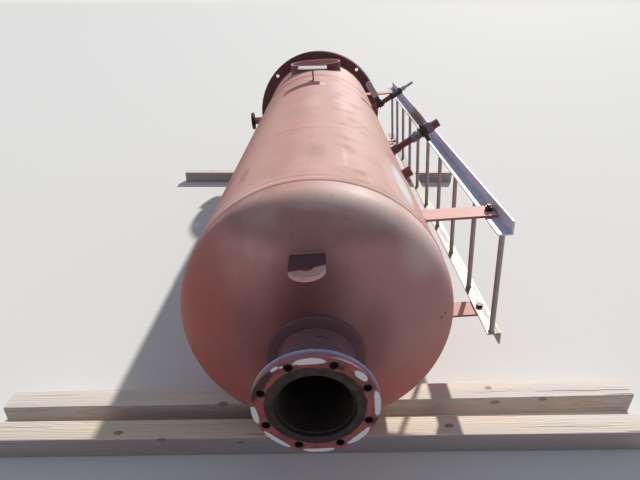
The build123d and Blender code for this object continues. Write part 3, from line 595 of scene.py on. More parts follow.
# Painted shade darkens the access sleeve outside, and painted light brightens it inside.
primer(
    "primed_sleeve", (104, 58, 64), (126, 72, 78), (160, 110, 110), (52, 32, 32), fade_and_top_light=0.35)
primer(
    "primed_sleeve_inside", (196, 148, 150), (212, 164, 166), (224, 184, 184), fade_and_top_light=0.35)
# A pale painted highlight for thin lit edges.
primer(
    "painted_lit_edge", (190, 150, 148), (206, 172, 168), (228, 204, 198), (120, 72, 66), fade_and_top_light=0.5)

# %% [markdown]
# The ladder is galvanised and weathered to a pale grey, with a brown stain where water
# stands in the angle. Streaks run along the rail, so the noise is stretched along Y.

# %% Finish of the ladder


def stretched(tree, place, scale):
    return add(tree, "ShaderNodeMapping", {"Vector": place, "Scale": scale}).outputs[0]


def ladder_finish(name, pale, grey, stain, stains=()):
    tree, place = new_finish(name)
    spangle = add(tree, "ShaderNodeTexVoronoi", {"Vector": place, "Scale": 70.0}).outputs["Color"]
    spangle = add(tree, "ShaderNodeSeparateColor", {0: spangle}).outputs[0]
    streaks = cloud(tree, stretched(tree, place, (9.0, 0.8, 9.0)), 4.0, 8.0, 0.42, 0.70)
    grit = cloud(tree, place, 80.0, 6.0, 0.58, 0.72, (5, 5, 5))
    colour = blend(tree, times(tree, spangle, 0.35), pale, grey)
    colour = lay(tree, colour, grey, streaks, 0.55)
    colour = lay_zones(tree, place, colour, stains)
    colour = lay(tree, colour, stain, grit, 0.5)
    rough = times_plus(tree, streaks, 0.2, 0.42)
    close_finish(tree, colour, rough, grit, 0.25, 0.0006, metallic=0.15)


RAIL_STAIN = (150, 118, 96)
# Painted light: the upper rail is tinted blue for the sky light on its shaded faces, and the lower rail is
# made darker and warmer against the sun on its top; both are one galvanised steel.
ladder_finish(
    "galvanised_rail", (216, 220, 236), (182, 189, 214), RAIL_STAIN,
    [((0.625, 0.38, 0.80), (0.08, 0.20, 0.08), RAIL_STAIN, 0.8, 1.2, 30.0, 0.4)])
ladder_finish(
    "lower_rail", (176, 168, 155), (160, 152, 140), RAIL_STAIN,
    [((0.628, -1.05, 0.36), (0.06, 0.12, 0.06), RAIL_STAIN, 0.6, 1.2, 30.0, 0.4)])
ladder_finish("brown_rung", (176, 164, 162), (146, 134, 132), (112, 84, 74))
ladder_finish(
    "galvanised_pipe", (178, 180, 184), (140, 140, 144), (110, 86, 70))

# %% [markdown]
# Small fittings have plain finishes, yet each has its clouds, grit and a paler top,
# painted light from the sky: dark red primer on forged pipe parts, black on the valves,
# a faded sleeve on the lever, bare bright plate for the nameplate and rusty steel for
# the bolts. On the union and the far sleeve that top is a bluish painted sky reflection.

# %% Finishes of the small parts


def coated(name, deep, plain, pale, dirt, roughness, metallic, fade_and_top_light):
    tree, place = new_finish(name)
    wide = cloud(tree, place, 16.0, 8.0, 0.38, 0.64)
    fine = cloud(tree, place, 150.0, 6.0, 0.54, 0.70, (7, 3, 2))
    colour = blend(tree, wide, deep, plain)
    # Painted light: the faces that look up are laid paler.
    colour = lay(tree, colour, pale, facing(tree, "Z", 0.0, 0.9), fade_and_top_light)
    colour = lay(tree, colour, dirt, fine, 0.5)
    rough = times_plus(tree, fine, 0.2, roughness)
    close_finish(tree, colour, rough, maths(tree, "ADD", wide, fine), 0.4, 0.0008, metallic)


# deep, plain, pale and dirt colours, roughness, metallic, pale top as painted light
COATINGS = {
    "dark_fittings": ((104, 52, 54), (136, 72, 72), (176, 118, 114), (56, 32, 32), 0.6, 0.0, 0.4),
    # bluish painted sky reflection on the union's top
    "grey_union": ((96, 80, 80), (114, 100, 104), (172, 178, 200), (70, 58, 60), 0.5, 0.0, 0.8),
    "black_valve": ((26, 24, 27), (42, 39, 43), (86, 80, 82), (70, 54, 50), 0.45, 0.0, 0.4),
    "lever_grip": ((170, 150, 160), (188, 168, 178), (206, 190, 198), (120, 100, 108), 0.55, 0.0, 0.4),
    "bare_plate": ((206, 204, 200), (228, 226, 222), (246, 245, 242), (160, 150, 140), 0.38, 0.3, 0.4),
    "bolts": ((44, 38, 38), (74, 62, 58), (120, 104, 96), (126, 72, 44), 0.5, 0.3, 0.4),
    "mauve_fitting": ((118, 96, 106), (140, 116, 126), (170, 152, 162), (78, 50, 52), 0.5, 0.0, 0.4),
    # bluish painted sky reflection on the far sleeve's top, black below
    "far_sleeve": ((26, 24, 27), (42, 39, 43), (150, 156, 176), (70, 54, 50), 0.45, 0.0, 0.9),
    "outlet_flange": ((46, 36, 38), (66, 52, 52), (112, 96, 96), (96, 60, 44), 0.6, 0.0, 0.4),
}
for name, look in COATINGS.items():
    coated(name, *look)
primer(
    "primed_clip", (160, 88, 80), (184, 108, 98), (232, 178, 164), (120, 66, 54))
print("finishes:", len(finishes))

# %% [markdown]
# Yard timber is sawn from a log, so its pattern comes from growth rings: cylinders
# round a pith line that runs along the piece. Cutting those cylinders gives the long
# lines on the faces and arcs on the ends for free. Knots bend the rings round them,
# and weather adds grey, fine splits and silvery fibres. The long faces that look away
# from the sun get painted shade: a mask of their normal darkens them.

# %% Growth rings
tree, start = new_group(
    "growth_rings", {"Place": (0, 0, 0), "Pith": (0, 0, 0), "Pull": 0.0, "Pitch": 0.006},
    {"Late wood": "Float"})
sway = noise_of(tree, stretched(tree, start["Place"], (1.1, 7.0, 7.0)), 1.6, 3.0)
sides = sides_of(tree, vector_maths(tree, "SUBTRACT", start["Place"], start["Pith"]))
square = times_plus(tree, sides["Y"], sides["Y"], times(tree, sides["Z"], sides["Z"]))
radius = times_plus(tree, sway, 0.045, maths(tree, "SQRT", square))
radius = maths(tree, "ADD", radius, start["Pull"])
saw = maths(tree, "FRACT", maths(tree, "DIVIDE", radius, start["Pitch"]))
late = times(tree, ramp(tree, saw, 0.35, 0.95), ramp(tree, saw, 0.96, 1.0, 1.0, 0.0))
close_group(tree, **{"Late wood": late})
growth_rings = tree

# %% [markdown]
# The three timbers share one finish. Each has its own place, pith line and knots, and
# its middle and turn on the ground serve for the splits as well.

# %% Weathered timber
TIMBER_SIDE = 0.0889
TIMBER_LATE = (222, 192, 166)
TIMBER_GREY = (222, 216, 212)
TIMBER_SHADE = (128, 110, 126)
# Knots are (along, across, up, size) in the timber's own directions, in metres.
KNOTS = {
    "front": [(-0.725, -0.015, 0.044, 0.014), (-0.559, -0.050, 0.040, 0.017), (-0.278, -0.044, 0.022, 0.010),
              (0.489, -0.001, 0.044, 0.014)],
    "back": [(-0.395, -0.044, 0.044, 0.017), (0.670, 0.011, 0.044, 0.012), (0.682, -0.044, 0.022, 0.015),
             (0.872, -0.044, 0.033, 0.014)],
    "far": [(-0.70, -0.045, 0.010, 0.020), (0.80, -0.045, -0.010, 0.018), (0.62, 0.000, 0.045, 0.020)],
}
# middle, turn on the ground, pith, pale wood and how dark the shaded face is
TIMBERS = {
    "front": ((-0.0168, -1.4667), 1.07, (0.0, 0.10, -0.075), (240, 226, 202), 0.62),
    "back": ((0.0072, -1.2997), 1.77, (0.0, 0.09, 0.020), (246, 236, 222), 0.40),
    "far": ((-0.0288, 1.4333), 0.16, (0.0, 0.02, -0.060), (246, 236, 222), 0.60),
}


def add_knots(tree, along, knots):
    """Masks of the knots: how far they pull the rings, their cores and their bark collars."""
    pull = core = collar = 0.0
    for *middle, size in knots:
        offset = vector_maths(tree, "SUBTRACT", along, tuple(middle))
        distance = vector_maths(tree, "LENGTH", vector_maths(tree, "MULTIPLY", offset, (0.55, 1.0, 1.0)))
        pull = maths(tree, "ADD", ramp(tree, distance, 0.0, size * 2.2, 0.012, 0.0), pull)
        core = maths(tree, "MAXIMUM", ramp(tree, distance, size * 0.30, size * 0.60, 1.0, 0.0), core)
        off_ring = maths(tree, "ABSOLUTE", times_plus(tree, distance, 4.5 / size, -2.5))
        collar = maths(tree, "MAXIMUM", maths(tree, "SUBTRACT", 1.0, off_ring, clamp=True), collar)
    return pull, core, collar


def timber_finish(side):
    (x, y), turn, pith, pale, shade = TIMBERS[side]
    tree, place = new_finish(f"{side}_timber")
    centred = vector_maths(tree, "SUBTRACT", place, (x, y, TIMBER_SIDE / 2))
    unturned = {"Vector": centred, "Rotation": (0.0, 0.0, -math.radians(turn))}
    along = add(tree, "ShaderNodeMapping", unturned).outputs[0]
    pull, core, collar = add_knots(tree, along, KNOTS[side])
    late = use(tree, growth_rings, Place=along, Pith=pith, Pull=pull, Pitch=0.0065)["Late wood"]
    fibres = noise_of(tree, stretched(tree, along, (2.5, 190.0, 190.0)), 1.0, 5.0)
    weather = cloud(tree, stretched(tree, along, (0.9, 6.0, 6.0)), 2.0, 7.0, 0.40, 0.66)
    splits = ramp(tree, noise_of(tree, stretched(tree, along, (1.3, 46.0, 46.0)), 1.0, 2.0), 0.685, 0.72)
    colour = blend(tree, times(tree, late, 0.60), pale, TIMBER_LATE)
    colour = lay(tree, colour, TIMBER_LATE, ramp(tree, fibres, 0.40, 0.70), 0.40)
    colour = lay(tree, colour, TIMBER_GREY, weather, 0.55)
    colour = lay(tree, colour, (140, 96, 74), core, 0.70)
    colour = lay(tree, colour, (84, 56, 44), collar, 0.75)
    colour = lay(tree, colour, (70, 52, 42), splits, 0.70)
    # Painted shade on the long faces that look away from the sun.
    colour = lay(tree, colour, TIMBER_SHADE, facing(tree, "Y", -0.5, -0.9), shade)
    height = times_plus(tree, splits, -1.2, maths(tree, "ADD", fibres, late))
    close_finish(tree, colour, 0.8, height, 0.45, 0.0016)


for side in TIMBERS:
    timber_finish(side)
print("finishes with timber:", len(finishes))

# %% [markdown]
# A CAD node is a shell of loose triangles. A dressed copy has its doubles merged and
# its flat faces made whole, so edges can be eased with a small bevel and curves can
# be shaded smooth. The copy takes the node's place in the picture.

# %% Dressing a CAD node


def pick_only(*chosen):
    bpy.ops.object.select_all(action="DESELECT")
    for piece in chosen:
        piece.select_set(True)
    bpy.context.view_layer.objects.active = chosen[0]


def apply_all(piece):
    pick_only(piece)
    for modifier in list(piece.modifiers):
        bpy.ops.object.modifier_apply(modifier=modifier.name)


def modify(piece, kind, **options):
    """Adds one modifier with its options and applies it."""
    modifier = piece.modifiers.new(kind.lower(), kind)
    for name, value in options.items():
        setattr(modifier, name, value)
    apply_all(piece)


def settle(piece):
    """Puts a piece's place, turn and scale into its mesh."""
    pick_only(piece)
    bpy.ops.object.transform_apply(location=True, rotation=True, scale=True)


def in_edit_mode(piece, *steps):
    """Runs steps, each an operator with its options, on the whole piece."""
    pick_only(piece)
    bpy.ops.object.mode_set(mode="EDIT")
    bpy.ops.mesh.select_all(action="SELECT")
    for operator, options in steps:
        operator(**options)
    bpy.ops.object.mode_set(mode="OBJECT")


def finish_piece(piece, name, slot, finish=None, smooth=35.0):
    """Names a piece, puts its place into its mesh, shades it and makes it ride on the vessel."""
    piece.name = name
    piece.data.name = name
    settle(piece)
    bpy.ops.object.shade_smooth_by_angle(angle=math.radians(smooth))
    piece.data.materials.clear()
    piece.data.materials.append(finishes[finish or slot])
    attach(piece, "root")
    return piece


def dressed(node, edge, finish):
    """The large faces rule the shading of steel, so they stay flat beside their eased edges."""
    pick_only(nodes[node])
    bpy.ops.object.duplicate()
    piece = bpy.context.active_object
    del piece["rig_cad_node"]
    bpy.ops.mesh.customdata_custom_splitnormals_clear()
    in_edit_mode(piece, (bpy.ops.mesh.remove_doubles, {"threshold": 0.00002}),
                 (bpy.ops.mesh.dissolve_limited, {"angle_limit": math.radians(0.2)}))
    if edge:
        modify(piece, "BEVEL", width=edge * MM, segments=2, limit_method="ANGLE",
               angle_limit=math.radians(40.0))
    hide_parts(node)
    finish_piece(piece, f"{node}_dressed", slot_of[node], finish)
    if edge and not node.startswith("timber"):
        modify(piece, "WEIGHTED_NORMAL", keep_sharp=True)
    return piece


EDGE_WIDTHS = {
    0.5: ("nameplate_plate", "middle_nipple", "far_nipple"),
    0.8: ("nameplate_web", "far_tail_pipe"),
    1.0: ("ladder_clip_near_upper", "ladder_clip_near_lower", "ladder_clip_far_upper",
          "ladder_clip_far_lower", "skirt_access_sleeve", "outlet_skirt_sleeve"),
    1.2: ("bottom_outlet_flange", "ladder_rail_upper", "ladder_rail_lower", "middle_plug", "far_valve"),
    1.5: ("base_ring", "lifting_lug_upper", "lifting_lug_lower", "top_nozzle_pad", "near_coupling",
          "middle_coupling", "far_coupling", "middle_union", "middle_valve", "far_sleeve"),
    1.6: ("top_nozzle_flange",),
    2.0: ("timber_front", "timber_back", "timber_far"),
    3.0: ("far_valve_grip",),
}
edge_of = {node: width for width, members in EDGE_WIDTHS.items() for node in members}
OWN_FINISH = {
    "top_head": "primed_head", "top_nozzle_neck": "primed_neck", "top_nozzle_pad": "primed_pad",
    "lifting_lug_upper": "primed_lug", "lifting_lug_lower": "primed_lug",
    "skirt_access_sleeve": "primed_sleeve", "bottom_outlet_flange": "outlet_flange",
    "far_sleeve": "far_sleeve", "ladder_rail_lower": "lower_rail",
    **{f"timber_{side}": f"{side}_timber" for side in TIMBERS},
}
MADE_ANEW = {"top_girth_weld", "shell_seam_weld", "ladder_clip_bolts"}
pieces = {node: dressed(node, edge_of.get(node), OWN_FINISH.get(node))
          for node in sorted(nodes) if node not in MADE_ANEW}
print("dressed:", len(pieces), "faces:", sum(len(piece.data.polygons) for piece in pieces.values()))

# %% [markdown]
# Some faces of a piece look different from the rest. The insides of the shell, the
# heads and the nozzle get the dark inside finish, rust with painted shade: a face looks
# inwards when its normal points towards the middle of the vessel. Two thin edges get a
# pale painted highlight all round: the outer edge of the base ring and the lip of the
# access opening.

# %% Inner faces and worn edges


def repaint(node, is_chosen, finish):
    piece = pieces[node]
    piece.data.materials.append(finishes[finish])
    last_slot = len(piece.data.materials) - 1
    chosen = [face for face in piece.data.polygons if is_chosen(face)]
    for face in chosen:
        face.material_index = last_slot
    print(piece.name, finish, "faces:", len(chosen))


def looks_at(face, middle, least=0.0):
    return face.normal.dot(middle - face.center) > least


def is_ring_edge(face):
    out = face.center - Vector((AXIS.x, face.center.y, AXIS.z))
    return out.length > 0.530 and abs(face.normal.y) < 0.5 and face.normal.dot(out) > 0.0


def is_lug_front(face):
    return face.normal.y < -0.2 and (face.center - Vector(LUG_EYE_MIDDLE)).length > 0.034


for node in ("shell_course_near", "shell_course_far", "top_head", "bottom_head"):
    repaint(node, lambda face: looks_at(face, AXIS), "rust_and_shade_inside")
repaint("top_nozzle_neck", lambda face: looks_at(face, spot(0, 0, 3500)), "rust_and_shade_inside")
repaint("base_ring", is_ring_edge, "painted_lit_edge")
access_middle = spot(90.0, 500.0, 393.0)
# Painted light: the inside of the access sleeve gets the lighter primer.
repaint("skirt_access_sleeve", lambda face: looks_at(face, access_middle, 0.05), "primed_sleeve_inside")
repaint("skirt_access_sleeve", lambda face: face.normal.dot(outward(90.0)) > 0.9, "painted_lit_edge")
repaint("lifting_lug_upper", is_lug_front, "primed_lug_edge")
# Painted shade: the neck's end ring inside the flange gets the dark inside finish.
repaint("top_nozzle_neck", lambda face: face.normal.y < -0.9 and face.center.y < -1.75, "rust_and_shade_inside")
repaint("middle_plug", lambda face: (face.center - AXIS).dot(outward(30.0)) < 0.6875, "mauve_fitting")

# %% [markdown]
# Welds are what makes a vessel look made and not cast. A bead round the vessel is a
# torus, flattened along the axis, and a noise pushes its surface about a little for
# the ripples that the arc leaves. Half of it lies inside the steel.

# %% Beads round the axis
ripples = bpy.data.textures.new("weld_ripples", type="CLOUDS")
ripples.noise_scale = 0.007
ripples.noise_depth = 2


def ripple(piece, strength):
    modify(piece, "DISPLACE", texture=ripples, texture_coords="LOCAL", mid_level=0.5, strength=strength * MM)


def bead_round(name, radius, elevation, half_width, height, slot="weld_beads", finish=None,
               rough=0.6, segments=256):
    bead = added(bpy.ops.mesh.primitive_torus_add, location=spot(0.0, 0.0, elevation),
                 rotation=(math.pi / 2, 0.0, 0.0), major_segments=segments, minor_segments=12,
                 major_radius=radius * MM, minor_radius=height * MM)
    bead.scale = (1.0, 1.0, half_width / height)
    settle(bead)
    ripple(bead, rough)
    return finish_piece(bead, name, slot, finish, smooth=80.0)


SKIRT_INNER_RADIUS = 447.7
girth = bead_round("top_girth_weld_dressed", SHELL_RADIUS, 3121.5, 17.0, 3.0, finish="primed_shell")
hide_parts("top_girth_weld")
bead_round("top_girth_ridge", SHELL_RADIUS, 3076.0, 12.0, 0.9, finish="primed_shell", rough=0.3)
seam = bead_round("shell_seam_weld_dressed", SHELL_RADIUS, 2452.0, 9.0, 0.8, finish="primed_shell", rough=0.3)
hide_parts("shell_seam_weld")
bead_round("neck_to_pad_weld", 110.5, 3420.5, 4.0, 3.5, finish="primed_neck", segments=128)
bead_round("pad_to_head_weld", 142.0, 3406.0, 9.0, 8.0, finish="primed_pad", segments=128)
bead_round("neck_to_hub_weld", 111.5, 3558.5, 6.0, 6.0, finish="primed_neck", segments=128)
bead_round("skirt_foot_weld_outside", SHELL_RADIUS, 28.0, 7.0, 7.0, "primed_base_ring")
bead_round("skirt_foot_weld_inside", SKIRT_INNER_RADIUS, 28.0, 6.0, 6.0, "primed_base_ring")

# %% [markdown]
# Other welds follow where a plate or a pipe meets a curved surface. A flat loop of the
# plate's outline is thrown on to that surface with a Shrinkwrap modifier, made a curve,
# and given a round section. So the bead lies on the steel, however it curves.

# %% Beads laid on a surface
TOWARDS_TOP = Vector((0.0, -1.0, 0.0))


def axes(x_axis, z_axis):
    return Matrix((x_axis, z_axis.cross(x_axis), z_axis)).transposed().to_4x4()


def place_on(azimuth, radius, elevation):
    """Z points out from the vessel's axis, X along it towards the top head."""
    return Matrix.Translation(spot(azimuth, radius, elevation)) @ axes(TOWARDS_TOP, outward(azimuth))


def facing_axis(azimuth, x, y, elevation):
    """Z points along the given azimuth from a place told in the vessel's standing X and Y."""
    place = place_on(azimuth, 0.0, elevation)
    place.translation = place.translation + outward(0.0) * x * MM + outward(90.0) * y * MM
    return place


def round_loop(sides, radius):
    loop = added(bpy.ops.mesh.primitive_circle_add, vertices=sides, radius=1.0, fill_type="NOTHING")
    loop.scale = (radius * MM, radius * MM, 1.0)
    settle(loop)
    return loop


def square_loop(half_x, half_y, cuts):
    """A rectangle whose edges are cut, so that it can follow a curve."""
    loop = added(bpy.ops.mesh.primitive_circle_add, vertices=4, radius=math.sqrt(2), fill_type="NOTHING")
    loop.rotation_euler = (0.0, 0.0, math.pi / 4)
    settle(loop)
    loop.scale = (half_x * MM, half_y * MM, 1.0)
    settle(loop)
    in_edit_mode(loop, (bpy.ops.mesh.subdivide, {"number_cuts": cuts}))
    return loop


def bead_on(name, loop, place, target, thickness, slot="primed_shell", finish=None):
    loop.matrix_world = place
    modify(loop, "SHRINKWRAP", target=nodes[target], wrap_method="PROJECT", use_project_z=True,
           use_negative_direction=True, use_positive_direction=False)
    bpy.ops.object.convert(target="CURVE")
    bead = bpy.context.active_object
    bead.data.bevel_depth = thickness * MM
    bead.data.bevel_resolution = 2
    bead.data.use_fill_caps = False
    bpy.ops.object.convert(target="MESH")
    bead = bpy.context.active_object
    in_edit_mode(bead, (bpy.ops.mesh.remove_doubles, {"threshold": 0.00005}),
                 (bpy.ops.mesh.normals_make_consistent, {"inside": False}))
    settle(bead)
    ripple(bead, 0.8)
    return finish_piece(bead, name, slot, finish, smooth=80.0)


# %% [markdown]
# Couplings, sleeves, the nameplate's web, the clips and the lugs are welded all round.
# Each loop starts outside the steel and is thrown down on it, 520 mm from the axis or
# further out.

# %% Welds of couplings, sleeves, clips and lugs
LEVEL_AZIMUTH = 30.0
LEVEL_ELEVATIONS = {"near": 2517.0, "middle": 2155.0, "far": 1110.0}
ABOVE_SHELL = 520.0
for name, elevation in LEVEL_ELEVATIONS.items():
    shell = "shell_course_near" if name == "near" else "shell_course_far"
    place = place_on(LEVEL_AZIMUTH, ABOVE_SHELL, elevation)
    bead_on(f"{name}_coupling_weld", round_loop(48, 23.6), place, shell, 4.0, "dark_fittings")
bead_on("access_sleeve_weld", round_loop(128, 204.0), place_on(90.0, ABOVE_SHELL, 393.0), "skirt", 5.0,
        finish="primed_sleeve")
bead_on("outlet_sleeve_weld", round_loop(64, 52.0), place_on(180.0, ABOVE_SHELL, 152.4), "skirt", 4.0)
bead_on("nameplate_web_weld", square_loop(40.0, 6.0, 8), place_on(90.8, ABOVE_SHELL, 1131.0),
        "shell_course_far", 3.0)

RAIL_FACE = 203.2
RAIL_THICKNESS = 6.4
CLIP_THICKNESS = 9.5
CLIP_ELEVATIONS = {"near": 2929.0, "far": 458.0}
LUG_MIDDLE = 312.0
SIDES = ((1, "upper"), (-1, "lower"))
clip_middle = RAIL_FACE + RAIL_THICKNESS + CLIP_THICKNESS / 2
for end, elevation in CLIP_ELEVATIONS.items():
    for side, side_name in SIDES:
        place = facing_axis(0.0, 560.0, side * clip_middle, elevation)
        bead_on(f"clip_weld_{end}_{side_name}", square_loop(46.5, 6.5, 12), place,
                "shell_course_near" if end == "near" else "skirt", 3.5, "primed_clip", "primed_shell")
for side, side_name in SIDES:
    lug_foot = facing_axis(0.0, 0.0, side * LUG_MIDDLE, 3440.0).translation
    place = Matrix.Translation(lug_foot) @ axes(outward(0.0), TOWARDS_TOP)
    bead_on(f"lug_weld_{side_name}", square_loop(52.0, 8.0, 12), place, "top_head", 4.0, finish="primed_head")
print("weld beads:", len([o for o in bpy.data.objects if "weld" in o.name]))

# %% [markdown]
# Pipe fittings are turned or hexagonal bars. A cylinder with as many sides as the bar
# has is added at its first size, then its end face is extruded and scaled step after
# step along the outline, as on a lathe.

# %% A turned bar


def scale_end(share, height):
    bpy.ops.transform.resize(value=(share, share, 1.0), center_override=(0.0, 0.0, height * MM))


def turned_bar(outline, sides=32):
    """Outline of (radius, height) points along Z, in millimetres."""
    (radius, foot), (next_radius, next_height) = outline[:2]
    depth = (next_height - foot) * MM
    bar = added(bpy.ops.mesh.primitive_cylinder_add, vertices=sides, radius=radius * MM, depth=depth,
                location=(0.0, 0.0, foot * MM + depth / 2))
    bpy.ops.object.mode_set(mode="EDIT")
    bpy.ops.mesh.select_mode(type="FACE")
    bpy.ops.mesh.select_all(action="DESELECT")
    bpy.ops.object.mode_set(mode="OBJECT")
    for face in bar.data.polygons:
        face.select = face.normal.z > 0.9
    bpy.ops.object.mode_set(mode="EDIT")
    bpy.ops.mesh.select_mode(type="FACE")
    scale_end(next_radius / radius, next_height)
    for (last_radius, last_height), (radius, height) in zip(outline[1:], outline[2:]):
        rise = (height - last_height) * MM
        bpy.ops.mesh.extrude_region_move(TRANSFORM_OT_translate={"value": (0.0, 0.0, rise)})
        scale_end(radius / last_radius, height)
    bpy.ops.object.mode_set(mode="OBJECT")
    return bar


def hexagon_bar(across_flats, foot, top, chamfer=1.0):
    radius = across_flats / 2 / math.cos(math.pi / 6)
    inner = radius - chamfer
    outline = [(inner, foot), (radius, foot + chamfer), (radius, top - chamfer), (inner, top)]
    return turned_bar(outline, sides=6)


def thread(radius, foot, top, pitch=2.0, depth=0.8):
    outline = [(radius - depth, foot)]
    height = foot
    while height + pitch <= top:
        outline += [(radius, height + pitch / 2), (radius - depth, height + pitch)]
        height += pitch
    return turned_bar(outline, sides=24)


# %% [markdown]
# Parts are drawn about the origin, turned, joined and put in their place as one piece.

# %% Putting parts together


def turned_to(part, matrix):
    part.matrix_world = matrix @ part.matrix_world
    return part


def joined(parts, place=Matrix()):
    """Joins parts drawn about the origin and puts them in their place."""
    pick_only(*parts)
    bpy.ops.object.transform_apply(location=True, rotation=True, scale=True)
    bpy.ops.object.join()
    piece = bpy.context.active_object
    piece.matrix_world = place
    return piece


def joined_copies(pattern, places):
    """Copies a piece to every place, takes the first away and joins the copies."""
    copies = []
    for place in places:
        pick_only(pattern)
        bpy.ops.object.duplicate()
        bpy.context.active_object.matrix_world = place
        copies.append(bpy.context.active_object)
    bpy.data.objects.remove(pattern)
    return joined(copies)


# %% [markdown]
# The ladder's clips are bolted: a hexagon head inside the rail, a washer and a nut
# outside, and a short threaded tail. One bolt is modelled and copied to four places.

# %% Clip bolts
BOLT_REACH = 639.2
BOLT_RADIUS = 7.9
clip_stack = RAIL_THICKNESS + CLIP_THICKNESS
washer_top = clip_stack + 2.5
nut_top = washer_top + 13.0
bolt = joined([
    hexagon_bar(24.0, -10.0, 0.0),
    turned_bar([(BOLT_RADIUS, -1.0), (BOLT_RADIUS, nut_top)], sides=24),
    turned_bar([(15.5, clip_stack), (15.5, washer_top)]),
    hexagon_bar(24.0, washer_top, nut_top),
    thread(BOLT_RADIUS, nut_top - 1.0, nut_top + 7.0),
])
clip_bolts = joined_copies(bolt, [facing_axis(side * 90.0, BOLT_REACH, side * RAIL_FACE, elevation)
                                  for side, _ in SIDES for elevation in CLIP_ELEVATIONS.values()])
finish_piece(clip_bolts, "ladder_clip_bolts_dressed", "bolts", smooth=30.0)
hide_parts("ladder_clip_bolts")

# %% [markdown]
# Each rung is welded all round where it meets a rail. Twenty small rings do that.

# %% Rung welds
RUNG_COUNT = 10
RUNG_PITCH = 304.8
FIRST_RUNG = 3090.0
RUNG_REACH = 636.0
ring = added(bpy.ops.mesh.primitive_torus_add, major_segments=24, minor_segments=8,
             major_radius=10.0 * MM, minor_radius=2.6 * MM)
ripple(ring, 0.6)
rung_welds = joined_copies(ring, [
    facing_axis(90.0, RUNG_REACH, side * (RAIL_FACE - 1.0), FIRST_RUNG - step * RUNG_PITCH)
    for step in range(RUNG_COUNT) for side, _ in SIDES])
finish_piece(rung_welds, "rung_welds", "brown_rung", smooth=60.0)

# %% [markdown]
# The two valves and their pipes get the parts that a hand would look for: hexagon ends
# and a packing nut on each valve, a tee handle with knobs, a lever nut, threads where
# pipes go in, and the thick bushing behind the plug.

# %% Details of the level connections
COUPLING_TIP = 495.3
FAR_VALVE = COUPLING_TIP + 9.5
MIDDLE_VALVE = COUPLING_TIP + 124.5
VALVE_HALF = 17.0
PIPE_THREAD = 17.6
middle_place = place_on(LEVEL_AZIMUTH, 0.0, LEVEL_ELEVATIONS["middle"])
far_place = place_on(LEVEL_AZIMUTH, 0.0, LEVEL_ELEVATIONS["far"])
along_x = Matrix.Rotation(math.pi / 2, 4, "Y")
along_y = Matrix.Rotation(-math.pi / 2, 4, "X")


def across_pipe(part, height, turn=along_x, aside=0.0):
    return turned_to(part, Matrix.Translation((aside * MM, 0, height * MM)) @ turn)


def valve_parts(start, across_flats):
    """Both hexagon ends, the packing nut and the neck under it."""
    middle = start + VALVE_HALF
    return [hexagon_bar(across_flats, start, start + 8.0),
            hexagon_bar(across_flats, start + 26.0, start + 34.0),
            across_pipe(hexagon_bar(20.0, 21.0, 29.0), middle),
            across_pipe(turned_bar([(13.0, 10.0), (13.0, 22.0), (9.0, 25.0)]), middle)]


def add_details(name, place, slot, parts, finish=None):
    finish_piece(joined(parts, place), name, slot, finish, smooth=30.0)


half_tee = [(12.0, 10.0), (8.0, 13.0), (9.0, 32.0), (10.5, 38.0), (9.5, 44.0), (5.0, 46.0)]
tee = turned_bar([(radius, -height) for radius, height in reversed(half_tee)] + half_tee)
across_pipe(tee, MIDDLE_VALVE + VALVE_HALF, along_y, 31.0)
add_details("middle_valve_details", middle_place, "black_valve", valve_parts(MIDDLE_VALVE, 47.0) + [tee])
add_details("middle_union_details", middle_place, "grey_union", [
    turned_bar([(20.0, 566.0), (23.0, 570.0), (23.0, 578.0), (21.0, 582.0)]),
    hexagon_bar(46.0, 588.0, 606.0, 1.5), turned_bar([(21.0, 606.0), (21.0, 619.0)])])
add_details("middle_bushing_collar", middle_place, "dark_fittings", [
    hexagon_bar(48.0, 655.0, 682.0, 1.5), turned_bar([(21.5, 682.0), (21.5, 686.0)])], "mauve_fitting")
add_details("middle_nipple_threads", middle_place, "dark_fittings", [
    thread(PIPE_THREAD, COUPLING_TIP, COUPLING_TIP + 12.0), thread(PIPE_THREAD, 556.0, 568.0)])
lever_nut = across_pipe(hexagon_bar(19.0, 36.0, 46.0), FAR_VALVE + VALVE_HALF)
add_details("far_valve_details", far_place, "black_valve", valve_parts(FAR_VALVE, 48.0) + [lever_nut])
add_details("far_sleeve_collars", far_place, "black_valve", [
    turned_bar([(19.5, 606.0), (22.5, 608.0), (22.5, 620.0), (20.0, 623.0)]),
    turned_bar([(20.0, 672.0), (22.5, 675.0), (22.5, 687.0), (19.5, 689.0)])])
add_details("far_nipple_threads", far_place, "dark_fittings", [
    thread(PIPE_THREAD, COUPLING_TIP, FAR_VALVE), thread(PIPE_THREAD, 538.8, 548.0),
    thread(PIPE_THREAD, 597.0, 607.0)])

# %% [markdown]
# The nameplate is a blank plate here, held by four rivets with round heads.

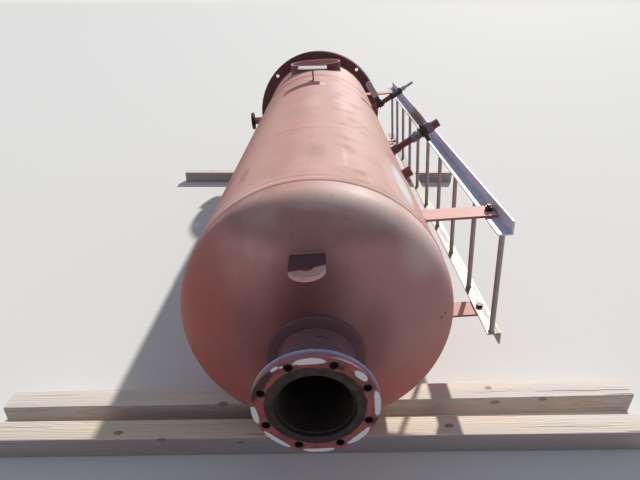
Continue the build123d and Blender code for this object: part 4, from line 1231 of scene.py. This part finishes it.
# %% Nameplate rivets
plate_place = (place_on(90.8, SHELL_RADIUS, 1131.0) @ Matrix.Translation((0, 0, 79.0 * MM))
               @ Matrix.Rotation(math.radians(-3.9), 4, "X"))
rivets = []
for along_plate in (-58.0, 58.0):
    for across_plate in (-85.0, 85.0):
        rivet = turned_bar([(6.0, 6.0), (6.0, 7.2), (4.6, 8.9), (2.2, 9.8)], sides=20)
        rivets.append(turned_to(rivet, Matrix.Translation((along_plate * MM, across_plate * MM, 0))))
finish_piece(joined(rivets, plate_place), "nameplate_rivets", "bare_plate", smooth=60.0)

# %% [markdown]
# Timber that has lain in the sun splits along its grain. Each split is a long thin
# wedge cut out of the timber with a Boolean modifier, so it stays dark from any side.

# %% Splits in the timbers
# along, across, length in metres and width in millimetres
SPLITS = {
    "front": [(-1.12, 0.016, 0.30, 1.8), (0.93, -0.012, 0.36, 1.6)],
    "back": [(1.070, -0.014, 0.44, 3.6), (0.700, -0.010, 0.20, 1.8), (-1.10, 0.018, 0.26, 1.8)],
    "far": [(-0.95, 0.010, 0.50, 2.4), (0.85, -0.014, 0.45, 2.2)],
}
SPLIT_DEPTH = 0.060
grain_sway = bpy.data.textures.new("grain_sway", type="CLOUDS")
grain_sway.noise_scale = 0.10


def split_wedge(side, along, across, length, width):
    """A long thin lens, pointed at both ends, that wanders a little as the grain does."""
    wedge = added(bpy.ops.mesh.primitive_uv_sphere_add, segments=8, ring_count=28, radius=0.5,
                  rotation=(0.0, math.pi / 2, 0.0))
    settle(wedge)
    wedge.scale = (length, width * MM, SPLIT_DEPTH)
    settle(wedge)
    (x, y), turn, *_ = TIMBERS[side]
    wedge.matrix_world = (Matrix.Translation((x, y, 0.0)) @ Matrix.Rotation(math.radians(turn), 4, "Z")
                          @ Matrix.Translation((along, across, TIMBER_SIDE)))
    modify(wedge, "DISPLACE", direction="Y", texture=grain_sway, texture_coords="GLOBAL", mid_level=0.5,
           strength=0.016)
    return wedge


for side, splits in SPLITS.items():
    timber = pieces[f"timber_{side}"]
    for split in splits:
        wedge = split_wedge(side, *split)
        modify(timber, "BOOLEAN", operation="DIFFERENCE", object=wedge, solver="EXACT")
        bpy.data.objects.remove(wedge)
    print(timber.name, "faces after splits:", len(timber.data.polygons))
